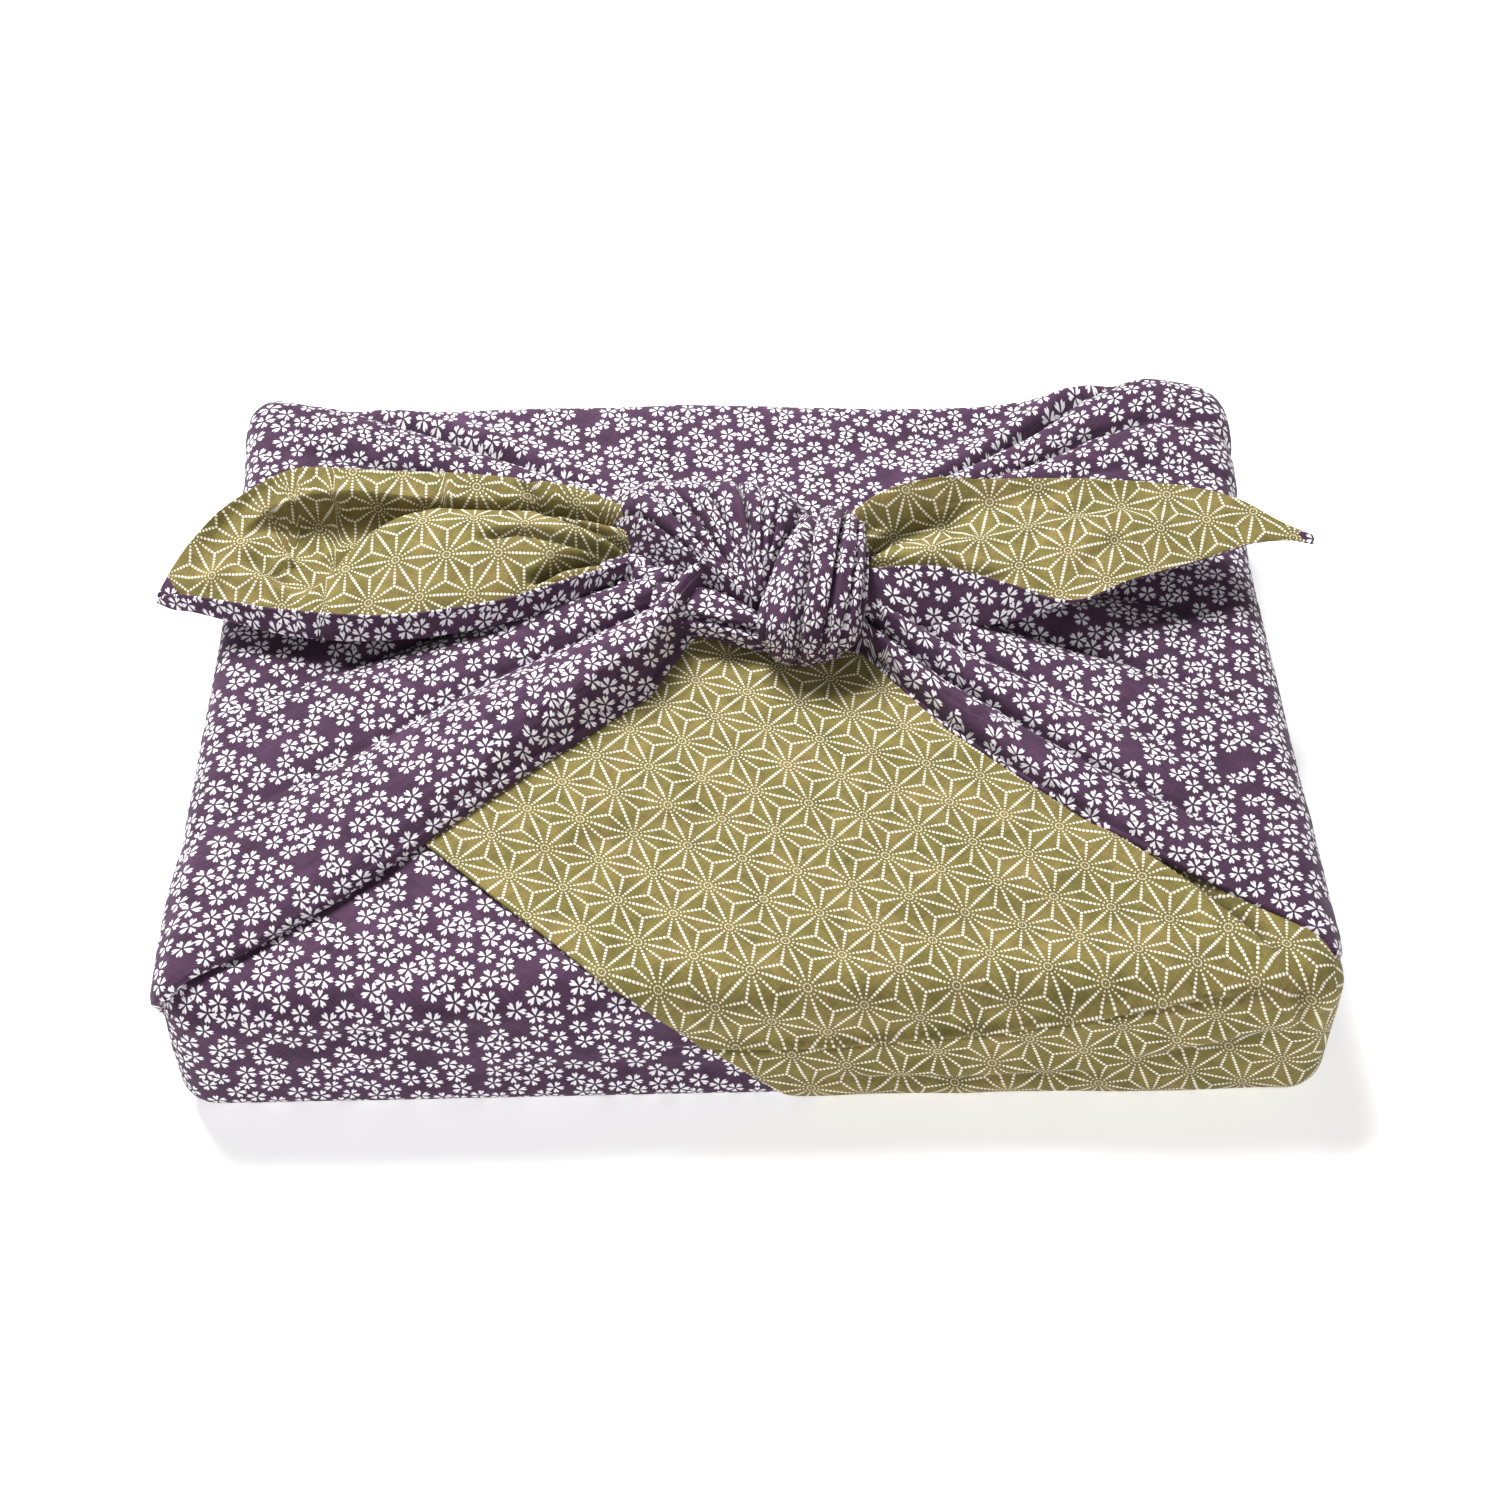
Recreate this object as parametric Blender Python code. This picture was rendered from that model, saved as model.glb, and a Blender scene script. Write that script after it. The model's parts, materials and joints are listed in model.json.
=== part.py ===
"""A flat box-shaped parcel wrapped in one square furoshiki cloth, with its two side corners
brought up over the top and tied in a square knot that leaves two free corners standing.

Metres, +Z up. The origin is on the floor under the middle of the parcel, +X runs along its
width to the viewer's right and +Y away from the viewer, to the parcel's back edge.
"""

import math

import bmesh
import bpy
import numpy as np
from mathutils import Vector

# Driving sizes of the wrapped parcel
WIDTH = 0.275
DEPTH = 0.217
HEIGHT = 0.044
EDGE_RADIUS = 0.009

# How far the sides stand out or sink between their corners, and the waves of that across and along
WAIST = 0.0012
WAIST_ACROSS, WAIST_ACROSS_START = 2.6, 0.7
WAIST_ALONG, WAIST_ALONG_START = 2.1, -0.4

# Where the top of the parcel swells or sinks: centre x, y, half width along X and Y, height
SWELLS = (
    (0.118, 0.098, 0.026, 0.024, 0.0060),
    (0.092, 0.106, 0.022, 0.014, 0.0022),
    (-0.118, 0.092, 0.032, 0.030, 0.0018),
    (0.000, 0.060, 0.060, 0.060, 0.0014),
    (0.060, -0.092, 0.070, 0.026, -0.0016),
    (-0.070, -0.070, 0.050, 0.034, -0.0010),
    (0.118, -0.075, 0.030, 0.034, 0.0016),
)

# The cloth: its thickness as it lies doubled at a fold, and how deep a fold is bedded
PLY = 0.0012
BED = 0.0050
FOOT = 0.0015  # where the outer cloth of a side ends above the floor
EAR_THICKNESS = 0.0018

# The turned back front corner: its hem runs at 45 degrees, x + y = HEM_SUM when unrolled
HEM_SUM = -0.139
FACING_BACK_Y = 0.020

# The wings run from the side faces over the top to the knot, WING_END from the middle
WING_END = 0.009
WING_RISE = 0.0020  # how far a wing's flat cloth lies above the parcel
WING_FADE = 0.012  # height over the floor where a side's cloth comes free of the parcel
HEM_SHARE = 0.03  # share of a wing's breadth in which its hems round down to the parcel
HEM_CROWDING = 0.45  # how much closer the steps lie beside the hems
LEFT, RIGHT = -1, 1

# Outline of each wing on the top face: distance from the middle, front edge y, back edge y
LEFT_OUTLINE = (
    (0.1375, -0.1070, 0.1070),
    (0.1170, -0.0940, 0.1035),
    (0.0990, -0.0800, 0.0960),
    (0.0840, -0.0660, 0.0900),
    (0.0510, -0.0360, 0.0720),
    (0.0240, -0.0130, 0.0560),
    (0.0140, 0.0060, 0.0500),
    (0.0090, 0.0120, 0.0470),
)
RIGHT_OUTLINE = (
    (0.1375, -0.0990, 0.1065),
    (0.1290, -0.0925, 0.1065),
    (0.1170, -0.0848, 0.1060),
    (0.0990, -0.0710, 0.0990),
    (0.0840, -0.0590, 0.0880),
    (0.0510, -0.0260, 0.0640),
    (0.0310, 0.0010, 0.0480),
    (0.0090, 0.0100, 0.0440),
)

# Folds of each wing, front to back, as shares of its breadth: centre and half breadth at the
# parcel's edge and at the knot, the height at the knot, and the share of the way where it starts
LEFT_FOLDS = (
    (0.015, 0.050, 0.022, 0.060, 0.0050, 0.45),
    (0.085, 0.170, 0.090, 0.115, 0.0135, -0.10),
    (0.270, 0.340, 0.085, 0.085, 0.0115, -0.04),
    (0.390, 0.460, 0.060, 0.065, 0.0110, 0.10),
    (0.520, 0.590, 0.080, 0.075, 0.0130, 0.06),
    (0.680, 0.720, 0.085, 0.075, 0.0110, 0.12),
    (0.810, 0.840, 0.070, 0.065, 0.0095, 0.04),
    (0.950, 0.945, 0.050, 0.060, 0.0075, -0.05),
)
RIGHT_FOLDS = (
    (0.035, 0.100, 0.045, 0.105, 0.0090, -0.04),
    (0.140, 0.270, 0.070, 0.080, 0.0125, 0.06),
    (0.270, 0.400, 0.085, 0.075, 0.0110, 0.00),
    (0.430, 0.540, 0.080, 0.080, 0.0130, 0.10),
    (0.600, 0.680, 0.085, 0.075, 0.0115, 0.04),
    (0.760, 0.790, 0.075, 0.065, 0.0110, -0.05),
    (0.860, 0.880, 0.045, 0.055, 0.0100, -0.12),
    (0.955, 0.955, 0.045, 0.050, 0.0080, -0.22),
)
WING_CROWN = 0.0045  # how far the middle of a gathered wing stands over its edges at the knot
FOLD_GROWTH = 1.10  # how fast the folds deepen towards the knot
LEAN = 0.55  # how far a fold's crest leans towards the front, as a share of its height

# The broad strand of the knot, a fan of pleats from the pinch where it tucks under: the angle
# of each ray from +X, its length, and the height of the strand's crest along it
PINCH = (0.0035, 0.0065, 0.0600)
FAN = (
    (26, 0.0290, 0.0725),
    (50, 0.0350, 0.0755),
    (76, 0.0400, 0.0765),
    (100, 0.0440, 0.0755),
    (122, 0.0490, 0.0745),
    (138, 0.0500, 0.0725),
    (152, 0.0380, 0.0690),
)
FAN_PROFILE = ((0.0, 0.00), (0.15, 0.42), (0.36, 0.86), (0.58, 1.00), (0.80, 0.76), (1.0, 0.0))
FAN_FOOT = 0.048
FAN_SINK = 0.0025
FAN_EDGE = 0.12  # share of the fan's turn in which each of its sides rounds down
FAN_PLEATS = 7
FAN_PLEAT_DEPTH = 0.0011
PINCH_RADIUS = 0.0015

# The narrow strand beside it, from the back, over the top, to the bulb at the front:
# centre x, y, z, half breadth along X and half thickness
BULB = (
    (0.0190, 0.0360, 0.0480, 0.0085, 0.0070),
    (0.0195, 0.0340, 0.0560, 0.0100, 0.0078),
    (0.0205, 0.0260, 0.0615, 0.0110, 0.0086),
    (0.0205, 0.0150, 0.0640, 0.0120, 0.0095),
    (0.0190, 0.0055, 0.0630, 0.0130, 0.0100),
    (0.0165, -0.0010, 0.0580, 0.0132, 0.0092),
    (0.0150, -0.0030, 0.0515, 0.0115, 0.0078),
    (0.0145, 0.0000, 0.0460, 0.0085, 0.0060),
)
BULB_PLEATS = 9
BULB_PLEAT_DEPTH = 0.14  # share of the bulb's thickness

# What fills the knot under its strands: centre x, y, z and half sizes along X, Y and Z
FILLS = (
    (0.0010, 0.0290, 0.0520, 0.0250, 0.0170, 0.0150),
    (0.0190, 0.0150, 0.0545, 0.0115, 0.0190, 0.0125),
    (-0.0030, 0.0120, 0.0500, 0.0160, 0.0125, 0.0080),
)

# The free corners, each row a section from the knot out to the tip. Columns: x, then y and z of
# the back hem, the valley beside it, the lobe along the middle, the low front, the belly and the
# front hem
LEFT_EAR = (
    (-0.010, 0.028, 0.0620, 0.027, 0.0600, 0.025, 0.0590, 0.022, 0.0575, 0.019, 0.0570, 0.018, 0.0580),
    (-0.027, 0.031, 0.0640, 0.030, 0.0600, 0.026, 0.0600, 0.021, 0.0565, 0.0180, 0.0560, 0.0185, 0.0600),
    (-0.044, 0.041, 0.0700, 0.040, 0.0600, 0.031, 0.0650, 0.018, 0.0575, 0.0120, 0.0555, 0.0130, 0.0615),
    (-0.062, 0.045, 0.0710, 0.045, 0.0580, 0.032, 0.0665, 0.015, 0.0575, 0.0065, 0.0550, 0.0075, 0.0615),
    (-0.078, 0.047, 0.0710, 0.048, 0.0570, 0.032, 0.0655, 0.014, 0.0575, 0.0030, 0.0545, 0.0045, 0.0610),
    (-0.090, 0.048, 0.0710, 0.049, 0.0545, 0.030, 0.0590, 0.014, 0.0560, 0.0020, 0.0540, 0.0035, 0.0605),
    (-0.103, 0.050, 0.0705, 0.049, 0.0525, 0.031, 0.0520, 0.015, 0.0530, 0.0025, 0.0535, 0.0045, 0.0600),
    (-0.120, 0.050, 0.0685, 0.046, 0.0530, 0.031, 0.0540, 0.018, 0.0530, 0.0065, 0.0530, 0.0085, 0.0590),
    (-0.135, 0.043, 0.0640, 0.038, 0.0555, 0.030, 0.0560, 0.022, 0.0530, 0.0135, 0.0530, 0.0125, 0.0575),
    (-0.145, 0.032, 0.0605, 0.029, 0.0565, 0.025, 0.0550, 0.021, 0.0535, 0.0170, 0.0535, 0.0145, 0.0555),
    (-0.150, 0.0245, 0.0575, 0.0230, 0.0560, 0.0215, 0.0550, 0.0200, 0.0542, 0.0185, 0.0540, 0.0170, 0.0545),
)
# Columns: x, then y and z of the back hem, the valley beside it, the lobe along the middle, the
# ridge where the cloth turns down, the belly and the hem under it
RIGHT_EAR = (
    (0.010, 0.029, 0.0640, 0.0265, 0.0625, 0.0240, 0.0620, 0.0205, 0.0620, 0.0170, 0.0600, 0.0150, 0.0575),
    (0.027, 0.030, 0.0680, 0.0260, 0.0635, 0.0215, 0.0640, 0.0160, 0.0650, 0.0085, 0.0580, 0.0080, 0.0530),
    (0.038, 0.038, 0.0690, 0.0310, 0.0620, 0.0240, 0.0645, 0.0145, 0.0655, 0.0045, 0.0570, 0.0060, 0.0515),
    (0.052, 0.043, 0.0690, 0.0350, 0.0625, 0.0250, 0.0635, 0.0130, 0.0655, 0.0040, 0.0550, 0.0080, 0.0505),
    (0.068, 0.044, 0.0685, 0.0370, 0.0630, 0.0240, 0.0625, 0.0085, 0.0640, 0.0040, 0.0570, 0.0085, 0.0530),
    (0.084, 0.0445, 0.0680, 0.0370, 0.0635, 0.0250, 0.0640, 0.0110, 0.0625, 0.0045, 0.0620, 0.0065, 0.0590),
    (0.100, 0.0445, 0.0670, 0.0380, 0.0635, 0.0290, 0.0655, 0.0180, 0.0625, 0.0125, 0.0615, 0.0120, 0.0600),
    (0.118, 0.0430, 0.0660, 0.0375, 0.0635, 0.0320, 0.0645, 0.0250, 0.0625, 0.0200, 0.0615, 0.0190, 0.0605),
    (0.132, 0.0390, 0.0645, 0.0350, 0.0635, 0.0320, 0.0640, 0.0280, 0.0630, 0.0255, 0.0625, 0.0240, 0.0615),
    (0.142, 0.0310, 0.0635, 0.0295, 0.0635, 0.0285, 0.0635, 0.0270, 0.0630, 0.0258, 0.0628, 0.0250, 0.0620),
    (0.150, 0.0265, 0.0625, 0.0260, 0.0625, 0.0255, 0.0625, 0.0250, 0.0622, 0.0245, 0.0620, 0.0240, 0.0618),
)

EAR_FULL_BREADTH = 0.014  # a section narrower than this, at a tip, is thinner too

# How finely each form is stepped
BLOCK_STEPS = (22, 18, 4)
WING_STEPS = (22, 35)
FAN_STEPS = (29, 10)
BULB_STEPS = (13, 30)
EAR_STEPS = (19, 15)
ARC_STEPS = 3
SHARP_ANGLE = math.radians(50)

PURPLE = (0.115, 0.062, 0.118, 1.0)
OLIVE = (0.330, 0.290, 0.105, 1.0)


def cloth_material(name, colour):
    material = bpy.data.materials.new(name)
    material.use_nodes = True
    shader = material.node_tree.nodes["Principled BSDF"]
    shader.inputs["Base Color"].default_value = colour
    shader.inputs["Roughness"].default_value = 0.85
    shader.inputs["Metallic"].default_value = 0.0
    return material


def clear_scene():
    for found in list(bpy.data.objects):
        bpy.data.objects.remove(found)


def object_from(name, points, faces, material):
    """A smooth shaded object from points and faces, its faces turned outwards."""
    mesh = bpy.data.meshes.new(name)
    mesh.from_pydata([tuple(p) for p in points], [], faces)
    shaper = bmesh.new()
    shaper.from_mesh(mesh)
    bmesh.ops.recalc_face_normals(shaper, faces=shaper.faces)
    shaper.to_mesh(mesh)
    shaper.free()
    mesh.shade_smooth()
    mesh.set_sharp_from_angle(angle=SHARP_ANGLE)
    mesh.materials.append(material)
    made = bpy.data.objects.new(name, mesh)
    bpy.context.scene.collection.objects.link(made)
    return made


def resampled(rows, count):
    """The rows of a table, read at count even steps of one smooth curve through them."""
    table = np.array(rows, float)
    ends = np.vstack((2 * table[0] - table[1], table, 2 * table[-1] - table[-2]))
    found = []
    for place in np.linspace(0, len(table) - 1, count):
        row = min(int(place), len(table) - 2)
        t = place - row
        a, b, c, d = ends[row : row + 4]
        found.append(0.5 * (2 * b + (c - a) * t + (2 * a - 5 * b + 4 * c - d) * t**2
                            + (3 * b - a - 3 * c + d) * t**3))
    return np.array(found)


def skin_faces(rows, columns, offset=0, closed=False):
    """Quads of a grid of rows by columns, whose columns meet again where it is closed."""
    faces = []
    for i in range(rows - 1):
        for j in range(columns if closed else columns - 1):
            k = (j + 1) % columns
            a, b = offset + i * columns, offset + (i + 1) * columns
            faces.append((a + j, a + k, b + k, b + j))
    return faces


def slab_object(name, upper, lower, material):
    """The closed solid between two like grids of points."""
    rows, columns = upper.shape[:2]
    size = rows * columns
    points = np.vstack((upper.reshape(-1, 3), lower.reshape(-1, 3)))
    faces = skin_faces(rows, columns) + [f[::-1] for f in skin_faces(rows, columns, size)]
    rim = [i * columns for i in range(rows)]
    rim += [(rows - 1) * columns + j for j in range(1, columns)]
    rim += [i * columns + columns - 1 for i in range(rows - 2, -1, -1)]
    rim += list(range(columns - 2, 0, -1))
    for a, b in zip(rim, rim[1:] + rim[:1]):
        faces.append((a, b, b + size, a + size))
    return object_from(name, points, faces, material)


def edge_spaced(size, steps):
    """Places along one side of the block: close together round its edges, even between them."""
    half, inner = size / 2, size / 2 - EDGE_RADIUS
    turn = [half - EDGE_RADIUS * (1 - math.tan(math.pi / 4 * i / ARC_STEPS)) for i in range(1, ARC_STEPS)]
    outer = [half - EDGE_RADIUS] + turn + [half]
    return [-v for v in reversed(outer)] + list(np.linspace(-inner, inner, steps + 1)[1:-1]) + outer


def soft_offset(x, y, z):
    """How far the filled parcel swells or sinks there, past its even rounded block."""
    across, along, up = x / WIDTH * 2, y / DEPTH * 2, (z - HEIGHT / 2) / HEIGHT * 2
    swell = sum(h * math.exp(-((x - a) / p) ** 2 - ((y - b) / q) ** 2) for a, b, p, q, h in SWELLS)
    waist = WAIST * math.sin(WAIST_ACROSS * across + WAIST_ACROSS_START)
    waist *= math.cos(WAIST_ALONG * along + WAIST_ALONG_START)
    return swell * max(up, 0) ** 2 + waist * (1 - up**2)


def rounded(point, lift=0.0):
    """A point of the plain block, moved onto the parcel's soft rounded surface and lifted off it."""
    size = Vector((WIDTH, DEPTH, HEIGHT)) / 2
    centred = Vector(point) - Vector((0, 0, HEIGHT / 2))
    inner = Vector(max(-s + EDGE_RADIUS, min(s - EDGE_RADIUS, c)) for s, c in zip(size, centred))
    out = (centred - inner).normalized()
    reach = EDGE_RADIUS + lift + soft_offset(*point)
    moved = inner + out * reach + Vector((0, 0, HEIGHT / 2))
    return Vector((moved.x, moved.y, max(moved.z, 0.0)))


def block_faces(sides):
    """The named sides of the plain block as one grid mesh in bmesh, before it is rounded."""
    axes = [edge_spaced(WIDTH, BLOCK_STEPS[0]), edge_spaced(DEPTH, BLOCK_STEPS[1])]
    axes.append([v + HEIGHT / 2 for v in edge_spaced(HEIGHT, BLOCK_STEPS[2])])
    shaper, corners = bmesh.new(), {}

    def corner(index):
        if index not in corners:
            corners[index] = shaper.verts.new([axes[a][index[a]] for a in range(3)])
        return corners[index]

    for axis, end in sides:
        first, second = [a for a in range(3) if a != axis]
        level = (len(axes[axis]) - 1) * (end > 0)
        for i in range(len(axes[first]) - 1):
            for j in range(len(axes[second]) - 1):
                around = []
                for di, dj in ((0, 0), (1, 0), (1, 1), (0, 1)):
                    index = [0, 0, 0]
                    index[axis], index[first], index[second] = level, i + di, j + dj
                    around.append(corner(tuple(index)))
                shaper.faces.new(around)
    bmesh.ops.recalc_face_normals(shaper, faces=shaper.faces)
    return shaper


def parcel(material):
    """The filled parcel, closed by one flat face where it stands."""
    shaper = block_faces([(0, -1), (0, 1), (1, -1), (1, 1), (2, -1), (2, 1)])
    for vertex in shaper.verts:
        vertex.co = rounded(vertex.co)
    underside = [f for f in shaper.faces if all(v.co.z < 1e-6 for v in f.verts)]
    bmesh.ops.dissolve_faces(shaper, faces=underside)
    bmesh.ops.recalc_face_normals(shaper, faces=shaper.faces)
    mesh = bpy.data.meshes.new("furoshiki")
    shaper.to_mesh(mesh)
    shaper.free()
    mesh.materials.append(material)
    made = bpy.data.objects.new("furoshiki", mesh)
    bpy.context.scene.collection.objects.link(made)
    return made


def facing(material):
    """The front corner turned back over the parcel, its hem running at 45 degrees down the front."""
    shaper = block_faces([(2, 1), (1, -1), (0, 1)])
    front = DEPTH / 2
    cuts = (
        (Vector((HEM_SUM, 0, HEIGHT)), Vector((1, 1, 0)), lambda n: n.z > 0.5),
        (Vector((HEM_SUM + front, 0, HEIGHT)), Vector((1, 0, 1)), lambda n: n.y < -0.5),
        (Vector((0, FACING_BACK_Y, 0)), Vector((0, -1, 0)), lambda n: True),
    )
    for place, normal, wanted in cuts:
        faces = [f for f in shaper.faces if wanted(f.normal)]
        edges = list({e for f in faces for e in f.edges})
        corners = list({v for f in faces for v in f.verts})
        near = faces + edges + corners
        bmesh.ops.bisect_plane(shaper, geom=near, plane_co=place, plane_no=normal, dist=1e-6)
        outside = [f for f in shaper.faces
                   if wanted(f.normal) and (f.calc_center_median() - place).dot(normal) < 0]
        bmesh.ops.delete(shaper, geom=outside, context="FACES")
    shaper.verts.index_update()
    count = len(shaper.verts)
    flat = [v.co.copy() for v in shaper.verts]
    points = [rounded(p, PLY) for p in flat] + [rounded(p, -BED) for p in flat]
    for point in points:
        point.z = max(point.z, FOOT)
    faces = [tuple(v.index for v in f.verts) for f in shaper.faces]
    walls = []
    for edge in shaper.edges:
        if len(edge.link_faces) == 1:
            a, b = (v.index for v in edge.verts)
            walls.append((a, b, b + count, a + count))
    under = [tuple(i + count for i in reversed(f)) for f in faces]
    shaper.free()
    return object_from("facing", points, faces + under + walls, material)


def fold_height(folds, share, across):
    """The height of the gathered cloth over its bed: folds rounded on top and sharp between."""
    highest = 0.0
    for far, near, far_half, near_half, top, start in folds:
        way = max(0.0, (share - start) / (1 - start))
        centre, half = far + (near - far) * share, far_half + (near_half - far_half) * share
        off = min(1.0, abs(across - centre) / half)
        highest = max(highest, top * way**FOLD_GROWTH * math.sqrt(1 - off**2))
    return highest + WING_CROWN * share**2 * math.sin(math.pi * across)


def wing(name, side, outline, folds, material):
    """One side corner of the cloth: up the side face, over the edge and in folds to the knot."""
    steps, columns = WING_STEPS
    heights = [v + HEIGHT / 2 for v in edge_spaced(HEIGHT, 3)]
    reaches = edge_spaced(WIDTH, BLOCK_STEPS[0])[-2 : -ARC_STEPS - 2 : -1]
    reaches += list(np.linspace(reaches[-1], WING_END, steps - len(heights)))[1:]
    spots = [(WIDTH / 2, z) for z in heights] + [(x, HEIGHT) for x in reaches]
    table = np.array(outline)[::-1]
    even = np.linspace(0, 1, columns)
    shares = even + HEM_CROWDING * (0.5 - 0.5 * np.cos(math.pi * even) - even)
    upper, lower = [], []
    for x, z in spots:
        share = 1 - (x - WING_END) / (WIDTH / 2 - WING_END)
        front = np.interp(x, table[:, 0], table[:, 1])
        back = np.interp(x, table[:, 0], table[:, 2])
        for across in shares:
            spot = Vector((side * x, front + (back - front) * across, z))
            fold = fold_height(folds, share, across)
            lift = WING_RISE + fold
            edge = min(1.0, min(across, 1 - across) / HEM_SHARE)
            lift *= math.sqrt(1 - (1 - edge) ** 2)
            lift -= 1.5 * WING_RISE * max(0.0, 1 - z / WING_FADE)
            raised = rounded(spot, lift)
            raised.y -= LEAN * fold * share * (1 - share**8) * (1 - across) ** 2 * edge
            upper.append(raised)
            lower.append(rounded(spot, -BED))
    shape = (len(spots), columns, 3)
    upper, lower = np.array(upper).reshape(shape), np.array(lower).reshape(shape)
    upper[:, :, 2] = np.maximum(upper[:, :, 2], FOOT)
    lower[:, :, 2] = np.maximum(lower[:, :, 2], FOOT)
    return slab_object(name, upper, lower, material)


def fan(material):
    """The broad strand of the knot, gathered in pleats that spread from the pinch."""
    rays, rings = FAN_STEPS
    profile = np.array(FAN_PROFILE)
    upper, lower = [], []
    for way, (angle, length, crest) in zip(np.linspace(0, 1, rays), resampled(FAN, rays)):
        turn = math.radians(angle)
        side = min(1.0, min(way, 1 - way) / FAN_EDGE)
        body = math.sqrt(1 - (1 - side) ** 2)
        pleat = FAN_PLEAT_DEPTH * math.cos(math.tau * FAN_PLEATS * (way + 0.04 * math.sin(9 * way)))
        pleat *= 0.7 + 0.3 * math.sin(7 * way + 1)
        for share in np.linspace(0, 1, rings):
            rise = np.interp(share, profile[:, 0], profile[:, 1])
            base = PINCH[2] + (FAN_FOOT - PINCH[2]) * share
            top = base + (crest - base) * rise + pleat * math.sin(math.pi * share)
            reach = PINCH_RADIUS + (length - PINCH_RADIUS) * share
            x = PINCH[0] + math.cos(turn) * reach
            y = PINCH[1] + math.sin(turn) * reach
            upper.append((x, y, FAN_FOOT + (top - FAN_FOOT) * body))
            lower.append((x, y, FAN_FOOT - FAN_SINK))
    shape = (rays, rings, 3)
    return slab_object("fan", np.array(upper).reshape(shape), np.array(lower).reshape(shape), material)


def bulb(material):
    """The narrow strand of the knot, over the top and down to its bulb, pleated along its length."""
    steps, around = BULB_STEPS
    table = resampled(BULB, steps)
    centres = [Vector(r[:3]) for r in table]
    points = []
    for i, row in enumerate(table):
        heading = (centres[min(i + 1, steps - 1)] - centres[max(i - 1, 0)]).normalized()
        across = (Vector((1, 0, 0)) - heading * heading.x).normalized()
        out = across.cross(heading)
        for j in range(around):
            angle = 2 * math.pi * j / around
            pleat = 1 - BULB_PLEAT_DEPTH * (0.5 + 0.5 * math.cos(BULB_PLEATS * angle))
            points.append(centres[i] + across * (row[3] * pleat * math.cos(angle))
                          + out * (row[4] * pleat * math.sin(angle)))
    faces = skin_faces(steps, around, closed=True)
    faces.append(tuple(range(around)))
    faces.append(tuple(range((steps - 1) * around, steps * around)))
    return object_from("bulb", points, faces, material)


def fill(place, x, y, z, half_x, half_y, half_z, material):
    """Gathered cloth inside the knot, where its strands cross and the free corners leave it."""
    shaper = bmesh.new()
    bmesh.ops.create_uvsphere(shaper, u_segments=18, v_segments=10, radius=1)
    for vertex in shaper.verts:
        vertex.co = Vector((x + half_x * vertex.co.x, y + half_y * vertex.co.y, z + half_z * vertex.co.z))
    mesh = bpy.data.meshes.new(f"fill_{place}")
    shaper.to_mesh(mesh)
    shaper.free()
    mesh.materials.append(material)
    made = bpy.data.objects.new(f"fill_{place}", mesh)
    bpy.context.scene.collection.objects.link(made)
    return made


def ear(name, rows, material):
    """One free corner of the cloth: a thin sheet, folded along its length, from the knot to its tip."""
    steps, columns = EAR_STEPS
    sections = resampled(rows, steps)
    sheet = []
    for row in sections:
        across = resampled(np.array(row[1:]).reshape(-1, 2), columns)
        sheet.append([(row[0], y, z) for y, z in across])
    sheet = np.array(sheet)
    along = np.gradient(sheet, axis=0)
    over = np.gradient(sheet, axis=1)
    normal = np.cross(along, over)
    normal /= np.linalg.norm(normal, axis=2, keepdims=True)
    for _ in range(3):
        near = np.pad(normal, ((0, 0), (1, 1), (0, 0)), mode="edge")
        normal = near[:, :-2] + near[:, 1:-1] + near[:, 2:]
        normal /= np.linalg.norm(normal, axis=2, keepdims=True)
    breadth = np.linalg.norm(over, axis=2).sum(axis=1)[:, None, None]
    half = EAR_THICKNESS / 2 * np.minimum(1.0, breadth / EAR_FULL_BREADTH)
    return slab_object(name, sheet + normal * half, sheet - normal * half, material)


def joined(whole, pieces):
    """Fuses the pieces to the whole, because one uncut cloth runs through them all."""
    folds = bpy.data.collections.new("folds")
    bpy.context.scene.collection.children.link(folds)
    for piece in pieces:
        folds.objects.link(piece)
        bpy.context.scene.collection.objects.unlink(piece)
    union = whole.modifiers.new("folds", "BOOLEAN")
    union.operation = "UNION"
    union.solver = "EXACT"
    union.operand_type = "COLLECTION"
    union.collection = folds
    fused = bpy.data.meshes.new_from_object(whole.evaluated_get(bpy.context.evaluated_depsgraph_get()))
    whole.modifiers.remove(union)
    whole.data = without_flaps(fused)
    for piece in pieces:
        bpy.data.objects.remove(piece)
    bpy.data.collections.remove(folds)


def without_flaps(mesh):
    """The mesh in triangles, less each pair that lies back to back on the same three corners."""
    shaper = bmesh.new()
    shaper.from_mesh(mesh)
    bmesh.ops.triangulate(shaper, faces=shaper.faces)
    corners = {}
    for face in shaper.faces:
        corners.setdefault(frozenset(face.verts), []).append(face)
    flaps = [face for faces in corners.values() if len(faces) > 1 for face in faces]
    bmesh.ops.delete(shaper, geom=flaps, context="FACES")
    shaper.to_mesh(mesh)
    shaper.free()
    return mesh


def main():
    clear_scene()
    purple = cloth_material("blossom_face", PURPLE)
    olive = cloth_material("hemp_leaf_face", OLIVE)
    whole = parcel(purple)
    joined(whole, [
        facing(olive),
        wing("left_wing", LEFT, LEFT_OUTLINE, LEFT_FOLDS, purple),
        wing("right_wing", RIGHT, RIGHT_OUTLINE, RIGHT_FOLDS, purple),
        *(fill(place, *sizes, purple) for place, sizes in enumerate(FILLS)),
        fan(purple),
        bulb(purple),
        ear("left_ear", LEFT_EAR, olive),
        ear("right_ear", RIGHT_EAR, olive),
    ])
    whole.data.shade_smooth()
    whole.data.set_sharp_from_angle(angle=SHARP_ANGLE)


main()
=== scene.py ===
"""Dresses the wrapped parcel: one two-sided printed cloth, tied over a flat box in a square knot."""

import json
import math

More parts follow.
